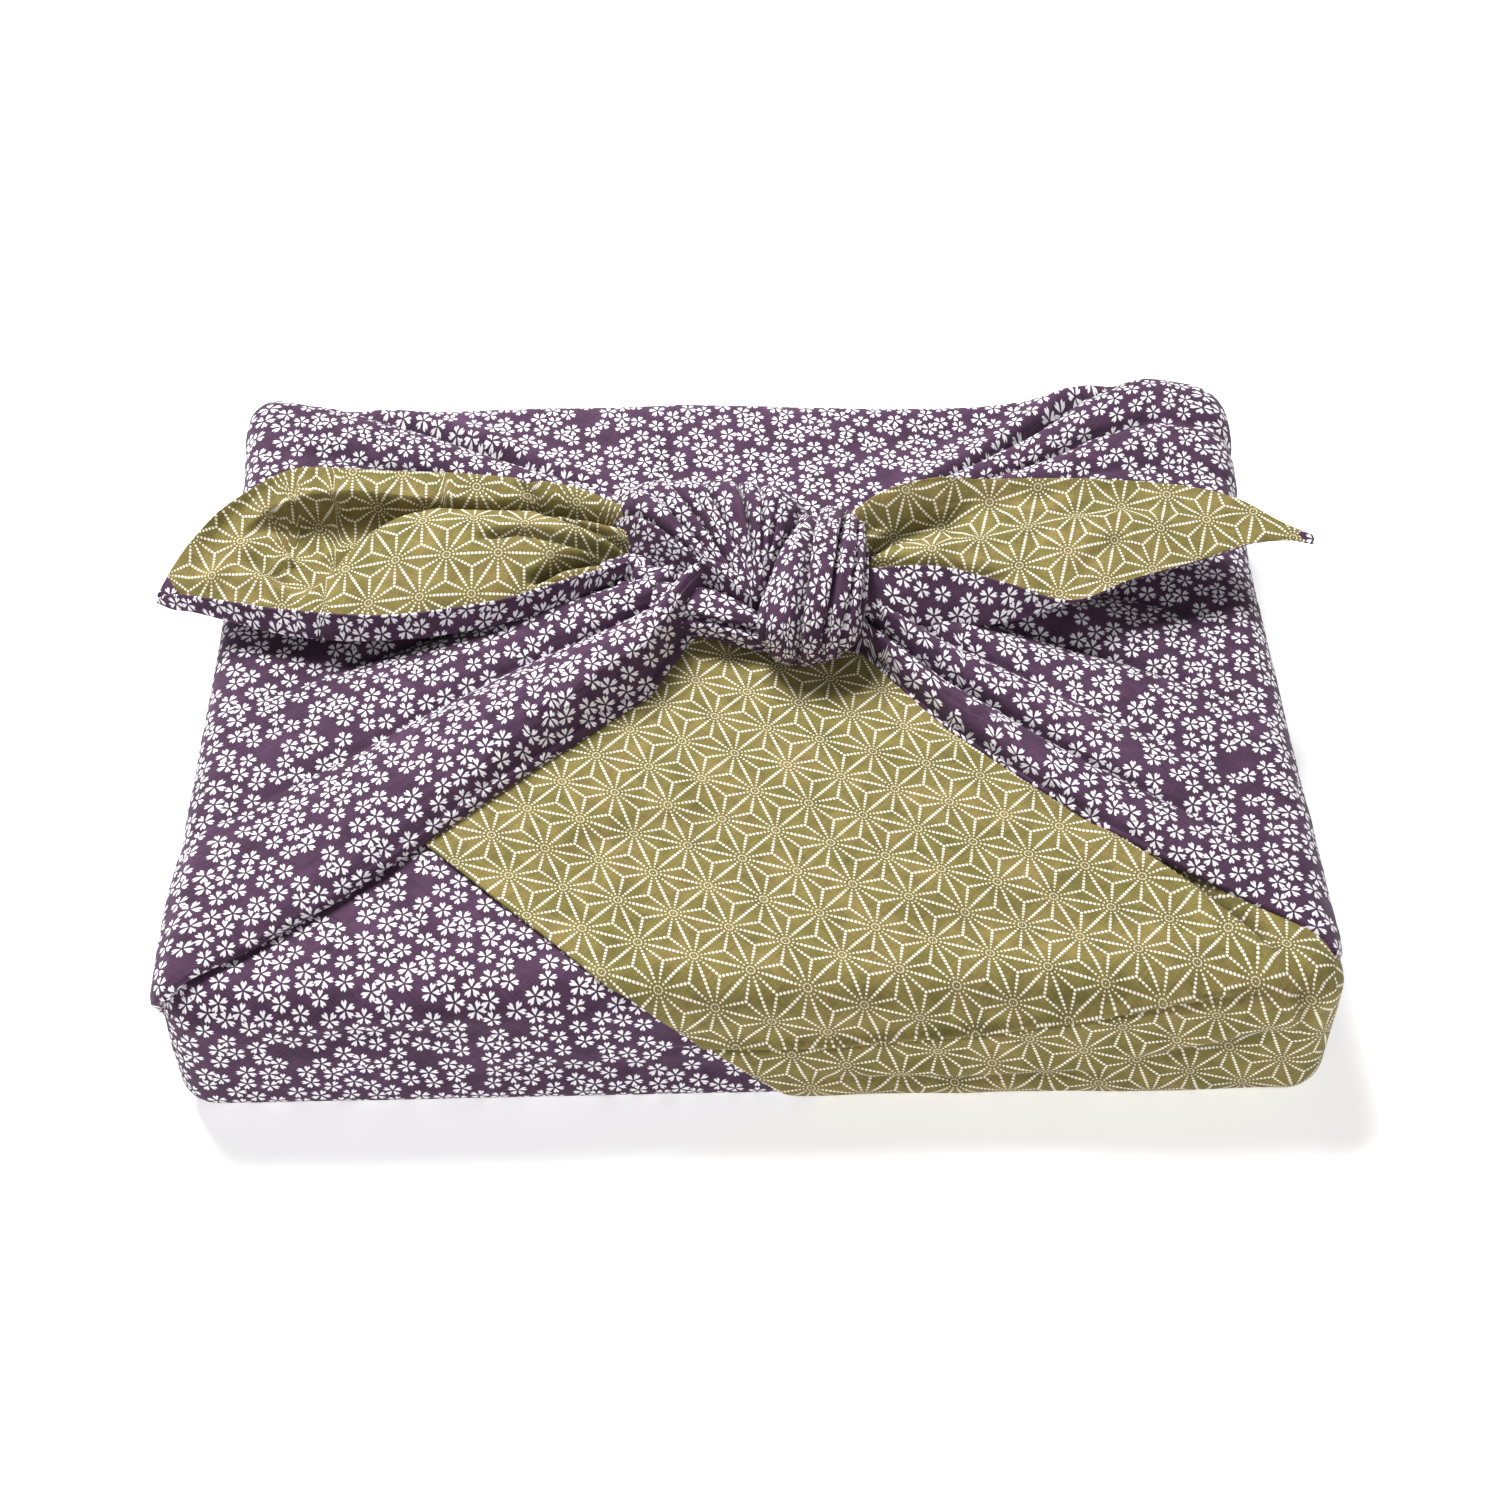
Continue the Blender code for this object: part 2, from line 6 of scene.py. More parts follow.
import bmesh
import bpy
import numpy as np
from bpy.props import FloatProperty, FloatVectorProperty, IntProperty, PointerProperty
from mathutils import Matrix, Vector, noise

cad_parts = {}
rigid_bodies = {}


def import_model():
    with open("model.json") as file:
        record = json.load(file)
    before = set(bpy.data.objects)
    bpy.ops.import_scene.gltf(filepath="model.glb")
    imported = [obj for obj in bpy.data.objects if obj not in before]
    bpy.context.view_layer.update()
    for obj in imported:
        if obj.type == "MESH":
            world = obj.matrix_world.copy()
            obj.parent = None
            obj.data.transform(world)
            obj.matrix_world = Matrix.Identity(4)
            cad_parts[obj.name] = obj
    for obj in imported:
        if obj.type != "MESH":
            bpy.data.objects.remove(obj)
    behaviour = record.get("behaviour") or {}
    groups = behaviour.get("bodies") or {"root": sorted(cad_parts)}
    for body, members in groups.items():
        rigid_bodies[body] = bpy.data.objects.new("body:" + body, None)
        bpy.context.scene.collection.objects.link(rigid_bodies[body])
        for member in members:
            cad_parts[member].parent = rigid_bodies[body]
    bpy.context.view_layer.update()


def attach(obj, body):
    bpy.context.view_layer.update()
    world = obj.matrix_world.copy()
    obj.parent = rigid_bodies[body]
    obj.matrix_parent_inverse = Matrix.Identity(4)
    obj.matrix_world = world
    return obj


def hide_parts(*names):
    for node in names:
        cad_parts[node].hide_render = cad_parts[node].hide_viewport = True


bl_info = {
    "name": "Furoshiki Wrap",
    "version": (1, 0, 0),
    "blender": (4, 5, 0),
    "location": "View3D > Sidebar > Furoshiki",
    "description": "Builds the cloth, the knot and the studio of a wrapped flat parcel",
    "category": "Object",
}

for found in list(bpy.data.objects):
    bpy.data.objects.remove(found)
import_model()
SOLID = "furoshiki"

# The parcel under the cloth, as the solid has it
WIDTH, DEPTH, HEIGHT, EDGE_RADIUS = 0.275, 0.217, 0.044, 0.009
HALF = np.array((WIDTH, DEPTH, HEIGHT)) / 2
WAIST = 0.0012
WAIST_ACROSS, WAIST_ACROSS_START = 2.6, 0.7
WAIST_ALONG, WAIST_ALONG_START = 2.1, -0.4

# Where the top swells or sinks: centre x, y, half width along X and Y, height
SWELLS = (
    (0.118, 0.098, 0.026, 0.024, 0.0060),
    (0.092, 0.106, 0.022, 0.014, 0.0022),
    (-0.118, 0.092, 0.032, 0.030, 0.0018),
    (-0.134, 0.107, 0.009, 0.009, 0.0028),
    (-0.040, 0.104, 0.085, 0.020, 0.0026),
    (0.000, 0.060, 0.060, 0.060, 0.0014),
    (0.060, -0.092, 0.070, 0.026, -0.0016),
    (-0.070, -0.070, 0.050, 0.034, -0.0010),
    (0.118, -0.075, 0.030, 0.034, 0.0016),
)

# Narrow creases in block coordinates: depth, half width, height of the ridge beside it, the side
# the ridge is on, then the points it runs through
BODY_CREASES = (
    (0.0012, 0.0022, 0.0008, (1, 0, 0),
     ((-0.0195, 0.1085, 0.040), (-0.0200, 0.092, 0.044), (-0.0190, 0.062, 0.044))),
    (0.0009, 0.0030, 0.0006, (0, 1, 0),
     ((-0.0900, -0.0640, 0.044), (-0.0780, -0.0840, 0.044), (-0.0700, -0.0960, 0.044))),
    (0.0008, 0.0035, 0.0007, (0, 0, 1),
     ((-0.1250, -0.1085, 0.026), (-0.0900, -0.1085, 0.032), (-0.0500, -0.1085, 0.030))),
    (0.0007, 0.0040, 0.0005, (0, 0, 1),
     ((-0.0700, -0.1085, 0.014), (-0.0350, -0.1085, 0.018), (0.0000, -0.1085, 0.012))),
    (0.0008, 0.0040, 0.0006, (0, 1, 0),
     ((0.0200, 0.0800, 0.044), (0.0500, 0.0920, 0.044), (0.0800, 0.0980, 0.044))),
    (0.0008, 0.0040, 0.0006, (0, 0, 1),
     ((-0.0900, 0.1085, 0.030), (-0.0200, 0.1085, 0.022), (0.0700, 0.1085, 0.030))),
    (0.0040, 0.0020, 0.0026, (0, 1, 0),
     ((-0.1080, 0.1030, 0.044), (-0.0990, 0.0985, 0.044), (-0.0840, 0.0925, 0.044),
      (-0.0680, 0.0840, 0.044), (-0.0510, 0.0740, 0.044), (-0.0300, 0.0620, 0.044))),
    (0.0042, 0.0020, 0.0028, (0, 1, 0),
     ((0.1200, 0.1085, 0.044), (0.0990, 0.1015, 0.044), (0.0840, 0.0905, 0.044),
      (0.0680, 0.0785, 0.044), (0.0400, 0.0580, 0.044))),
)
FACING_CREASES = (
    (0.0032, 0.0010, 0.0024, (0, 0, 1),
     ((-0.0220, -0.1085, 0.0235), (0.0200, -0.1085, 0.024), (0.0600, -0.1085, 0.029),
      (0.0950, -0.1085, 0.036), (0.1240, -0.1085, 0.042))),
    (0.0034, 0.0016, 0.0026, (-1, 0, 0),
     ((0.0860, -0.0560, 0.044), (0.1050, -0.0760, 0.044), (0.1180, -0.0920, 0.044),
      (0.1270, -0.1085, 0.040), (0.1290, -0.1085, 0.026))),
    (0.0014, 0.0022, 0.0012, (0, 0, 1),
     ((0.0880, -0.1085, 0.016), (0.1100, -0.1085, 0.022), (0.1280, -0.1085, 0.030))),
    (0.0012, 0.0020, 0.0010, (0, 0, 1),
     ((0.0100, -0.1085, 0.012), (0.0500, -0.1085, 0.010), (0.0900, -0.1085, 0.013))),
    (0.0008, 0.0040, 0.0006, (0, 1, 0),
     ((-0.0600, -0.0700, 0.044), (-0.0300, -0.0560, 0.044), (0.0000, -0.0500, 0.044))),
    (0.0007, 0.0040, 0.0005, (0, 1, 0),
     ((0.0250, -0.0900, 0.044), (0.0600, -0.0850, 0.044), (0.0900, -0.0720, 0.044))),
)
# How deep a crease, ledge or valley is where the shade painted into it is at full strength
DARK_BLOCK_CREASE, DARK_EAR_CREASE, DARK_LEDGE, DARK_VALLEY = 0.003, 0.004, 0.024, 0.0032

# Steps of the meshes: along X, Y and Z of the block, then along and across each sheet
PARCEL_STEPS, FACING_STEPS = (120, 96, 22), (170, 130, 64)
WING_SIDE_STEPS, WING_TOP_STEPS, WING_COLUMNS, HEM_TURN_STEPS = 8, 78, 190, 10
FAN_RAYS, FAN_RINGS = 220, 56
STRAND_STEPS, STRAND_COLUMNS = 70, 150
EAR_STEPS, EAR_COLUMNS = 230, 150

# The turned back front corner: its height over the cloth below, x + y along its hem on the top,
# how far back it goes under the wings, and its lip under the parcel
PLY = 0.0012
HEM_SUM = -0.139
FACING_BACK_Y = 0.020
LIP = 0.012

# The wings, from the sides to the knot: where they end, how far they stand off the block on the
# top and at the floor, and how far the front hem is drawn back on the lower half of the side
WING_END, WING_RISE, WING_BED, WING_DRAWN_BACK = 0.009, 0.0020, 0.0024, 0.012
# How far in the two rows of cloth under a wing's rolled hem lie, and how close its columns
# crowd to the hems
WING_TUCKS, WING_CROWDING = (0.005, 0.0025), 0.30
# The wings on their way in: x, then y of the front and of the back hem
LEFT_OUTLINE = (
    (0.1375, -0.1070, 0.1070),
    (0.1170, -0.0940, 0.1035),
    (0.0990, -0.0800, 0.0960),
    (0.0840, -0.0660, 0.0900),
    (0.0510, -0.0360, 0.0720),
    (0.0240, -0.0130, 0.0560),
    (0.0140, 0.0060, 0.0500),
    (0.0090, 0.0120, 0.0470),
)
RIGHT_OUTLINE = (
    (0.1375, -0.0990, 0.1065),
    (0.1290, -0.0925, 0.1065),
    (0.1170, -0.0848, 0.1060),
    (0.0990, -0.0710, 0.0990),
    (0.0840, -0.0590, 0.0880),
    (0.0510, -0.0260, 0.0640),
    (0.0310, 0.0010, 0.0480),
    (0.0090, 0.0100, 0.0440),
)

# Folds, front to back, as shares of the wing's breadth: centre and half breadth at the parcel's
# edge and at the knot, the height at the knot, and the share of the way where it starts
LEFT_FOLDS = (
    (0.100, 0.175, 0.125, 0.195, 0.0150, -0.10),
    (0.310, 0.430, 0.105, 0.110, 0.0105, 0.00),
    (0.530, 0.590, 0.100, 0.085, 0.0095, 0.06),
    (0.700, 0.725, 0.085, 0.075, 0.0110, 0.12),
    (0.820, 0.845, 0.070, 0.065, 0.0095, 0.04),
    (0.950, 0.945, 0.050, 0.060, 0.0075, -0.05),
)
RIGHT_FOLDS = (
    (0.035, 0.100, 0.045, 0.105, 0.0090, -0.04),
    (0.140, 0.270, 0.070, 0.080, 0.0125, 0.06),
    (0.270, 0.400, 0.085, 0.075, 0.0110, 0.00),
    (0.430, 0.540, 0.080, 0.080, 0.0130, 0.10),
    (0.600, 0.680, 0.085, 0.075, 0.0115, 0.04),
    (0.760, 0.790, 0.075, 0.065, 0.0110, -0.05),
    (0.860, 0.880, 0.045, 0.055, 0.0100, -0.12),
    (0.955, 0.955, 0.045, 0.050, 0.0080, -0.22),
)
# The crown of a wing at the knot, how its folds grow, slim and lean to the front, and how high a
# fold is where the shade painted into the valley beside it ends
WING_CROWN, FOLD_GROWTH, FOLD_SLIMMING, LEAN, VALLEY_TOP = 0.0045, 0.95, 0.90, 0.55, 0.0045

# The broad strand of the knot: the angle of each ray from the pinch, its length and its crest
PINCH = (0.0035, 0.0065, 0.0600)
FAN = (
    (38, 0.0290, 0.0615),
    (56, 0.0360, 0.0690),
    (76, 0.0405, 0.0752),
    (97, 0.0445, 0.0757),
    (113, 0.0520, 0.0742),
    (127, 0.0610, 0.0722),
    (137, 0.0600, 0.0700),
    (148, 0.0420, 0.0665),
)
# Its height on the way out, as a share of the crest
FAN_PROFILE = ((0.0, 0.00), (0.15, 0.42), (0.36, 0.86), (0.58, 1.00), (0.80, 0.76), (1.0, 0.0))
# The height of its foot, the share of its turn in which its sides come down, the radius of the
# pinch, the height of its puffs, the share of the way over which shade is painted at the pinch, and
# the ring of the mesh that keeps its breadth on the flat cloth
FAN_FOOT, FAN_EDGE, PINCH_RADIUS, FAN_PUFF, PAINTED_PINCH_SHADE = 0.048, 0.12, 0.0003, 0.0014, 0.10
FLAT_RING = 26
# Creases of the broad strand: share of its turn, depth, half width, and from where to where on the
# way out from the pinch
FAN_VALLEYS = (
    (0.19, 0.0028, 0.013, 0.05, 0.80),
    (0.27, 0.0018, 0.011, 0.20, 0.60),
    (0.33, 0.0026, 0.011, 0.10, 0.90),
    (0.40, 0.0044, 0.010, 0.14, 0.86),
    (0.47, 0.0022, 0.012, 0.04, 0.45),
    (0.53, 0.0042, 0.009, 0.20, 0.82),
    (0.60, 0.0020, 0.011, 0.30, 0.70),
    (0.66, 0.0038, 0.010, 0.10, 0.72),
    (0.78, 0.0028, 0.011, 0.20, 0.66),
    (0.91, 0.0046, 0.011, 0.25, 0.95),
)

# The narrow strand over the top and down to its bulb: centre, half breadth, half thickness
BULB = (
    (0.0245, 0.0370, 0.0500, 0.0065, 0.0060),
    (0.0248, 0.0340, 0.0580, 0.0075, 0.0070),
    (0.0238, 0.0265, 0.0632, 0.0092, 0.0086),
    (0.0213, 0.0160, 0.0650, 0.0115, 0.0100),
    (0.0190, 0.0060, 0.0633, 0.0130, 0.0102),
    (0.0166, -0.0006, 0.0585, 0.0130, 0.0088),
    (0.0152, 0.0004, 0.0530, 0.0116, 0.0076),
    (0.0147, 0.0036, 0.0480, 0.0088, 0.0058),
)
# The end of the left side that passes under both strands
UNDER = (
    (-0.0300, 0.0200, 0.0500, 0.0090, 0.0080),
    (-0.0200, 0.0165, 0.0520, 0.0090, 0.0075),
    (-0.0110, 0.0125, 0.0530, 0.0085, 0.0068),
    (-0.0030, 0.0090, 0.0525, 0.0075, 0.0060),
    (0.0040, 0.0065, 0.0510, 0.0065, 0.0055),
    (0.0100, 0.0060, 0.0500, 0.0055, 0.0050),
)
# Pleats of the two: how many run round it, their depth as a share of its radius, and their seed
BULB_PLEATS, UNDER_PLEATS = (11, 0.44, 0.3), (7, 0.46, 1.1)
# The breadth of the grooves between pleats, how uneven the strands are besides, and how much
# cloth they gather, across and along
GROOVE_BREADTH, STRAND_UNEVEN, STRAND_SQUEEZE = 0.55, 0.06, (1.22, 1.0)

# The free corners, each row a section from the knot out to the tip. Columns: x, then y and z of
# the back hem, the valley beside it, the lobe, the low front, the belly and the front hem
LEFT_EAR = (
    (-0.014, 0.0330, 0.0600, 0.0320, 0.0580, 0.0310, 0.0575, 0.0295, 0.0565, 0.0285, 0.0560, 0.0280, 0.0565),
    (-0.027, 0.0370, 0.0645, 0.0345, 0.0612, 0.0315, 0.0605, 0.0270, 0.0575, 0.0245, 0.0555, 0.0248, 0.0590),
    (-0.044, 0.0450, 0.0670, 0.0390, 0.0632, 0.0310, 0.0650, 0.0200, 0.0590, 0.0145, 0.0550, 0.0155, 0.0612),
    (-0.062, 0.0500, 0.0665, 0.0418, 0.0634, 0.0320, 0.0660, 0.0150, 0.0595, 0.0065, 0.0550, 0.0075, 0.0615),
    (-0.078, 0.0527, 0.0660, 0.0430, 0.0634, 0.0320, 0.0650, 0.0140, 0.0595, 0.0030, 0.0545, 0.0045, 0.0610),
    (-0.090, 0.0540, 0.0656, 0.0470, 0.0636, 0.0310, 0.0635, 0.0140, 0.0585, 0.0020, 0.0540, 0.0035, 0.0605),
    (-0.103, 0.0552, 0.0657, 0.0505, 0.0642, 0.0310, 0.0600, 0.0150, 0.0570, 0.0025, 0.0535, 0.0045, 0.0600),
    (-0.120, 0.0552, 0.0658, 0.0500, 0.0634, 0.0310, 0.0575, 0.0180, 0.0555, 0.0060, 0.0530, 0.0080, 0.0590),
    (-0.135, 0.0440, 0.0640, 0.0400, 0.0600, 0.0300, 0.0570, 0.0220, 0.0550, 0.0120, 0.0528, 0.0125, 0.0582),
    (-0.143, 0.0345, 0.0615, 0.0305, 0.0590, 0.0255, 0.0566, 0.0210, 0.0550, 0.0150, 0.0526, 0.0148, 0.0578),
    (-0.148, 0.0265, 0.0588, 0.0240, 0.0575, 0.0215, 0.0564, 0.0190, 0.0553, 0.0160, 0.0526, 0.0157, 0.0574),
    (-0.152, 0.0180, 0.0556, 0.0178, 0.0555, 0.0176, 0.0553, 0.0174, 0.0550, 0.0170, 0.0542, 0.0168, 0.0552),
)
RIGHT_EAR = (
    (0.010, 0.029, 0.0640, 0.0265, 0.0625, 0.0240, 0.0620, 0.0205, 0.0605, 0.0165, 0.0590, 0.0170, 0.0625),
    (0.027, 0.030, 0.0680, 0.0260, 0.0635, 0.0215, 0.0640, 0.0175, 0.0610, 0.0085, 0.0560, 0.0155, 0.0655),
    (0.038, 0.038, 0.0690, 0.0310, 0.0620, 0.0240, 0.0645, 0.0165, 0.0610, 0.0045, 0.0545, 0.0140, 0.0660),
    (0.052, 0.043, 0.0690, 0.0350, 0.0625, 0.0250, 0.0635, 0.0155, 0.0600, 0.0040, 0.0540, 0.0125, 0.0658),
    (0.068, 0.044, 0.0685, 0.0370, 0.0630, 0.0240, 0.0625, 0.0120, 0.0600, 0.0030, 0.0560, 0.0080, 0.0640),
    (0.084, 0.0445, 0.0680, 0.0370, 0.0635, 0.0250, 0.0640, 0.0130, 0.0615, 0.0060, 0.0600, 0.0030, 0.0625),
    (0.100, 0.0445, 0.0670, 0.0380, 0.0635, 0.0290, 0.0655, 0.0180, 0.0625, 0.0130, 0.0612, 0.0110, 0.0615),
    (0.118, 0.0430, 0.0660, 0.0375, 0.0635, 0.0320, 0.0645, 0.0250, 0.0625, 0.0200, 0.0615, 0.0185, 0.0610),
    (0.132, 0.0390, 0.0645, 0.0350, 0.0635, 0.0320, 0.0640, 0.0280, 0.0630, 0.0255, 0.0625, 0.0240, 0.0618),
    (0.142, 0.0310, 0.0635, 0.0295, 0.0635, 0.0285, 0.0635, 0.0270, 0.0630, 0.0258, 0.0628, 0.0250, 0.0622),
    (0.150, 0.0265, 0.0625, 0.0260, 0.0625, 0.0255, 0.0625, 0.0250, 0.0622, 0.0245, 0.0620, 0.0240, 0.0618),
)

# The outer face shows at both tips, past this length, and less so away from the tip's middle
TURNED_TIP, TIP_SLANT = 0.1460, 0.8
# The lowest that marks may sink them, and how the lattice is turned on each
LEFT_LOWEST, RIGHT_LOWEST = 0.0480, 0.0592
LEFT_TURN, RIGHT_TURN = math.radians(-15), math.radians(-30)
# Their gathers at the knot: x of the root, how far out they reach, their height and their number
EAR_ROOT, GATHER_REACH, GATHER_HEIGHT, GATHERS = 0.024, 0.022, 0.0010, 5.5
# A section shorter than this across is smoother, in step with its length
FULL_SECTION = 0.020
# Creases and ledges of the free corners: how deep, half width, how far a ledge goes on to the left
# of its path (none for a crease), then the path over the ground
LEFT_MARKS = (
    (0.0120, 0.0014, 0.020, ((-0.1160, 0.0140), (-0.1100, 0.0195), (-0.1055, 0.0250), (-0.1015, 0.0300),
                             (-0.0970, 0.0340), (-0.0900, 0.0375), (-0.0830, 0.0400), (-0.0785, 0.0418),
                             (-0.0775, 0.0435), (-0.0800, 0.0450), (-0.0860, 0.0458), (-0.0940, 0.0470),
                             (-0.1030, 0.0485), (-0.1140, 0.0485), (-0.1260, 0.0440), (-0.1330, 0.0370))),
    (0.0062, 0.0012, 0, ((-0.0280, 0.0345), (-0.0430, 0.0385), (-0.0520, 0.0420), (-0.0670, 0.0425),
                         (-0.0850, 0.0445))),
    (0.0024, 0.0018, 0, ((-0.0585, 0.0500), (-0.0530, 0.0425), (-0.0486, 0.0370))),
    (0.0040, 0.0012, 0, ((-0.0570, 0.0157), (-0.0474, 0.0217), (-0.0371, 0.0250), (-0.0240, 0.0262))),
    (0.0030, 0.0012, 0, ((-0.0710, 0.0281), (-0.0580, 0.0298), (-0.0449, 0.0276), (-0.0250, 0.0265))),
    (0.0040, 0.0012, 0, ((-0.0500, 0.0375), (-0.0397, 0.0331), (-0.0250, 0.0275))),
    (-0.0016, 0.0032, 0, ((-0.1400, 0.0250), (-0.1315, 0.0300), (-0.1264, 0.0360), (-0.1199, 0.0416),
                          (-0.1080, 0.0440))),
    (-0.0014, 0.0026, 0, ((-0.1444, 0.0220), (-0.1344, 0.0250), (-0.1255, 0.0220), (-0.1149, 0.0150))),
    (0.0012, 0.0022, 0, ((-0.1350, 0.0300), (-0.1260, 0.0280), (-0.1170, 0.0220))),
)
RIGHT_MARKS = (
    (0.0036, 0.0010, 0.010, ((0.0620, 0.0400), (0.0470, 0.0355), (0.0400, 0.0305), (0.0341, 0.0245),
                             (0.0230, 0.0145))),
    (-0.0016, 0.0014, 0.012, ((0.0230, 0.0150), (0.0341, 0.0250), (0.0400, 0.0310), (0.0470, 0.0360),
                              (0.0620, 0.0405))),
    (0.0042, 0.0011, 0, ((0.0210, 0.0130), (0.0300, 0.0200), (0.0341, 0.0240), (0.0400, 0.0298),
                         (0.0520, 0.0370))),
    (-0.0012, 0.0026, 0, ((0.0600, 0.0320), (0.0750, 0.0360), (0.0900, 0.0385), (0.1100, 0.0390),
                          (0.1360, 0.0340))),
    (-0.0009, 0.0022, 0, ((0.0450, 0.0225), (0.0649, 0.0262), (0.0812, 0.0310), (0.1050, 0.0330))),
    (0.0014, 0.0014, 0, ((0.0300, 0.0195), (0.0410, 0.0200), (0.0539, 0.0180), (0.0720, 0.0130))),
    (0.0010, 0.0020, 0, ((0.0850, 0.0100), (0.0900, 0.0180), (0.1020, 0.0270))),
)

# The hemp leaf lattice on the turned back corner: one star, the steps to two of its neighbours as
# the cloth is stretched there, and the angles of these steps, in degrees, on the flat cloth
STAR = (-0.00416, 0.00144)
STAR_STEPS = ((0.01311, -0.00432), (-0.00833, -0.00855))
STAR_ANGLES = (-15, -135)
# The lattice's three ways, in degrees; the share of an edge's dots on a spoke, and their size
LATTICE_ANGLES = (45, -15, -75)
SPOKE_DOTS, SPOKE_SIZE = 0.57, 0.94
# The dots grow from the middle of a star, from this share, up to this share of a line; their rim
SMALLEST_DOT, GROWN_AT, DOT_RIM = 0.36, 0.70, 0.00007

# The blossoms: how they are turned on the cloth, the share of places that has one, the step
# between rows and the part of a cell that their middles keep to, in steps, and their sizes
BLOSSOM_TURN, BLOSSOM_CHANCE, ROW_STEP = math.radians(23), 0.96, 0.87
MIDDLE_FROM, MIDDLE_TO = 0.29, 0.71
SMALLEST_BLOSSOM, LARGEST_BLOSSOM = 0.90, 1.04
# A petal in shares of the radius: where it starts and how fast it widens, the middle, half length
# and half breadth of its oval, where the notch in its tip starts and how steep it is
PETAL_START, PETAL_SPREAD = 0.14, 0.52
OVAL_MIDDLE, OVAL_LENGTH, OVAL_BREADTH = 0.60, 0.44, 0.285
NOTCH_START, NOTCH_SLOPE = 0.74, 1.7
# How the three count at its rim, and the softness of the rim
OVAL_SHARE, NOTCH_SHARE, PETAL_RIM = 0.16, 0.55, 0.020

# The weave: its turn on the cloth, and how close the slubs of a thread lie across and along it
WEAVE_TURN, SLUBS_ACROSS, SLUBS_ALONG = math.radians(45), 2600.0, 130.0
# How much slubs and mottle vary the ground, how much shade is painted on the weave's relief, and
# how much of all that the print takes
SLUB_SHADE, MOTTLE_SHADE, PAINTED_THREAD_SHADE, PRINT_SHADE = 0.55, 0.75, 0.06, 0.18
SLUB_RELIEF = 1.4

# The camera's place, heading and lens, worked out from the eight corners of the parcel
CAMERA_AT = (-0.0089, -0.4751, 0.5055)
CAMERA_HEADING = (0.0154, 0.6936, -0.7202)
CAMERA_LENS = 61.29
# The lights: place and size, and the spot that both look at; half the floor's side; how high over
# the horizon the pale low sky ends
KEY_LIGHT = ((-0.30, 0.44, 0.98), 0.45)
FILL_LIGHT = ((0.20, -1.00, 0.60), 1.20)
LIT_SPOT = (0, 0, 0.03)
FLOOR_HALF = 4.0
SKY_TOP = 0.35


class BlossomSettings(bpy.types.PropertyGroup):
    """The outer face of the cloth, printed with cherry blossoms"""

    ground: FloatVectorProperty(name="Ground", description="Colour of the dyed ground", subtype="COLOR",
                                size=3, min=0, max=1, default=(0.064, 0.030, 0.062))
    print_colour: FloatVectorProperty(name="Blossoms", description="Colour of the undyed blossoms",
                                      subtype="COLOR", size=3, min=0, max=1, default=(0.86, 0.83, 0.87))
    radius: FloatProperty(name="Blossom radius", description="From a blossom's middle to the tip of a petal",
                          default=0.00246, unit="LENGTH", precision=5)
    spacing: FloatProperty(name="Blossom spacing", description="Distance between two blossoms of one row",
                           default=0.0055, unit="LENGTH", precision=5)


class HempLeafSettings(bpy.types.PropertyGroup):
    """The inner face of the cloth, printed with a dotted hemp leaf lattice"""

    ground: FloatVectorProperty(name="Ground", description="Colour of the dyed ground", subtype="COLOR",
                                size=3, min=0, max=1, default=(0.200, 0.160, 0.050))
    print_colour: FloatVectorProperty(name="Dots", description="Colour of the dots", subtype="COLOR",
                                      size=3, min=0, max=1, default=(0.90, 0.84, 0.72))
    star_step: FloatProperty(name="Star step", description="Distance between the middles of two stars",
                             default=0.0135, unit="LENGTH", precision=5)
    dots: IntProperty(name="Dots", description="Dots between the middles of two stars", default=14,
                      min=4, max=40)
    dot_radius: FloatProperty(name="Dot radius", description="Radius of the largest dots",
                              default=0.00038, unit="LENGTH", precision=5)


class ClothSettings(bpy.types.PropertyGroup):
    """The cotton itself"""

    thickness: FloatProperty(name="Thickness", description="Thickness of one ply of the cloth",
                             default=0.0008, unit="LENGTH", precision=5)
    thread_step: FloatProperty(name="Thread step", description="Distance between two threads of the weave",
                               default=0.00048, unit="LENGTH", precision=5)
    thread_depth: FloatProperty(name="Thread depth", description="Height of the threads in the weave",
                                default=0.00006, unit="LENGTH", precision=6)
    wrinkles: FloatProperty(name="Wrinkles", description="Height of the fine wrinkles", default=0.0005,
                            unit="LENGTH", precision=5)
    # Painted shade: how much darker the colour is made in the creases, for the shade that falls there
    painted_crease_strength: FloatProperty(name="Crease shade", description="How much darker the creases are",
                                default=0.60, min=0, max=1, subtype="FACTOR")
    roughness: FloatProperty(name="Roughness", description="How matt the cloth is", default=0.88,
                             min=0, max=1, subtype="FACTOR")


class StudioSettings(bpy.types.PropertyGroup):
    """The floor and the light"""

    floor_colour: FloatVectorProperty(name="Floor", description="Colour of the floor", subtype="COLOR",
                                      size=3, min=0, max=1, default=(0.96, 0.96, 0.96))
    sky: FloatProperty(name="Sky", description="Strength of the even light from above", default=0.10, min=0)
    key: FloatProperty(name="Key light", description="Power of the soft light above, a little behind",
                       default=22.0, unit="POWER", min=0)
    fill: FloatProperty(name="Fill light", description="Power of the broad light behind the camera",
                        default=5.6, unit="POWER", min=0)
    glow: FloatProperty(name="Floor glow", description="Light that the floor gives off",
                        default=0.50, min=0)


def settings(context):
    """The settings of the scene, which the operators read."""
    return context.scene.furoshiki_wrap


# Forms


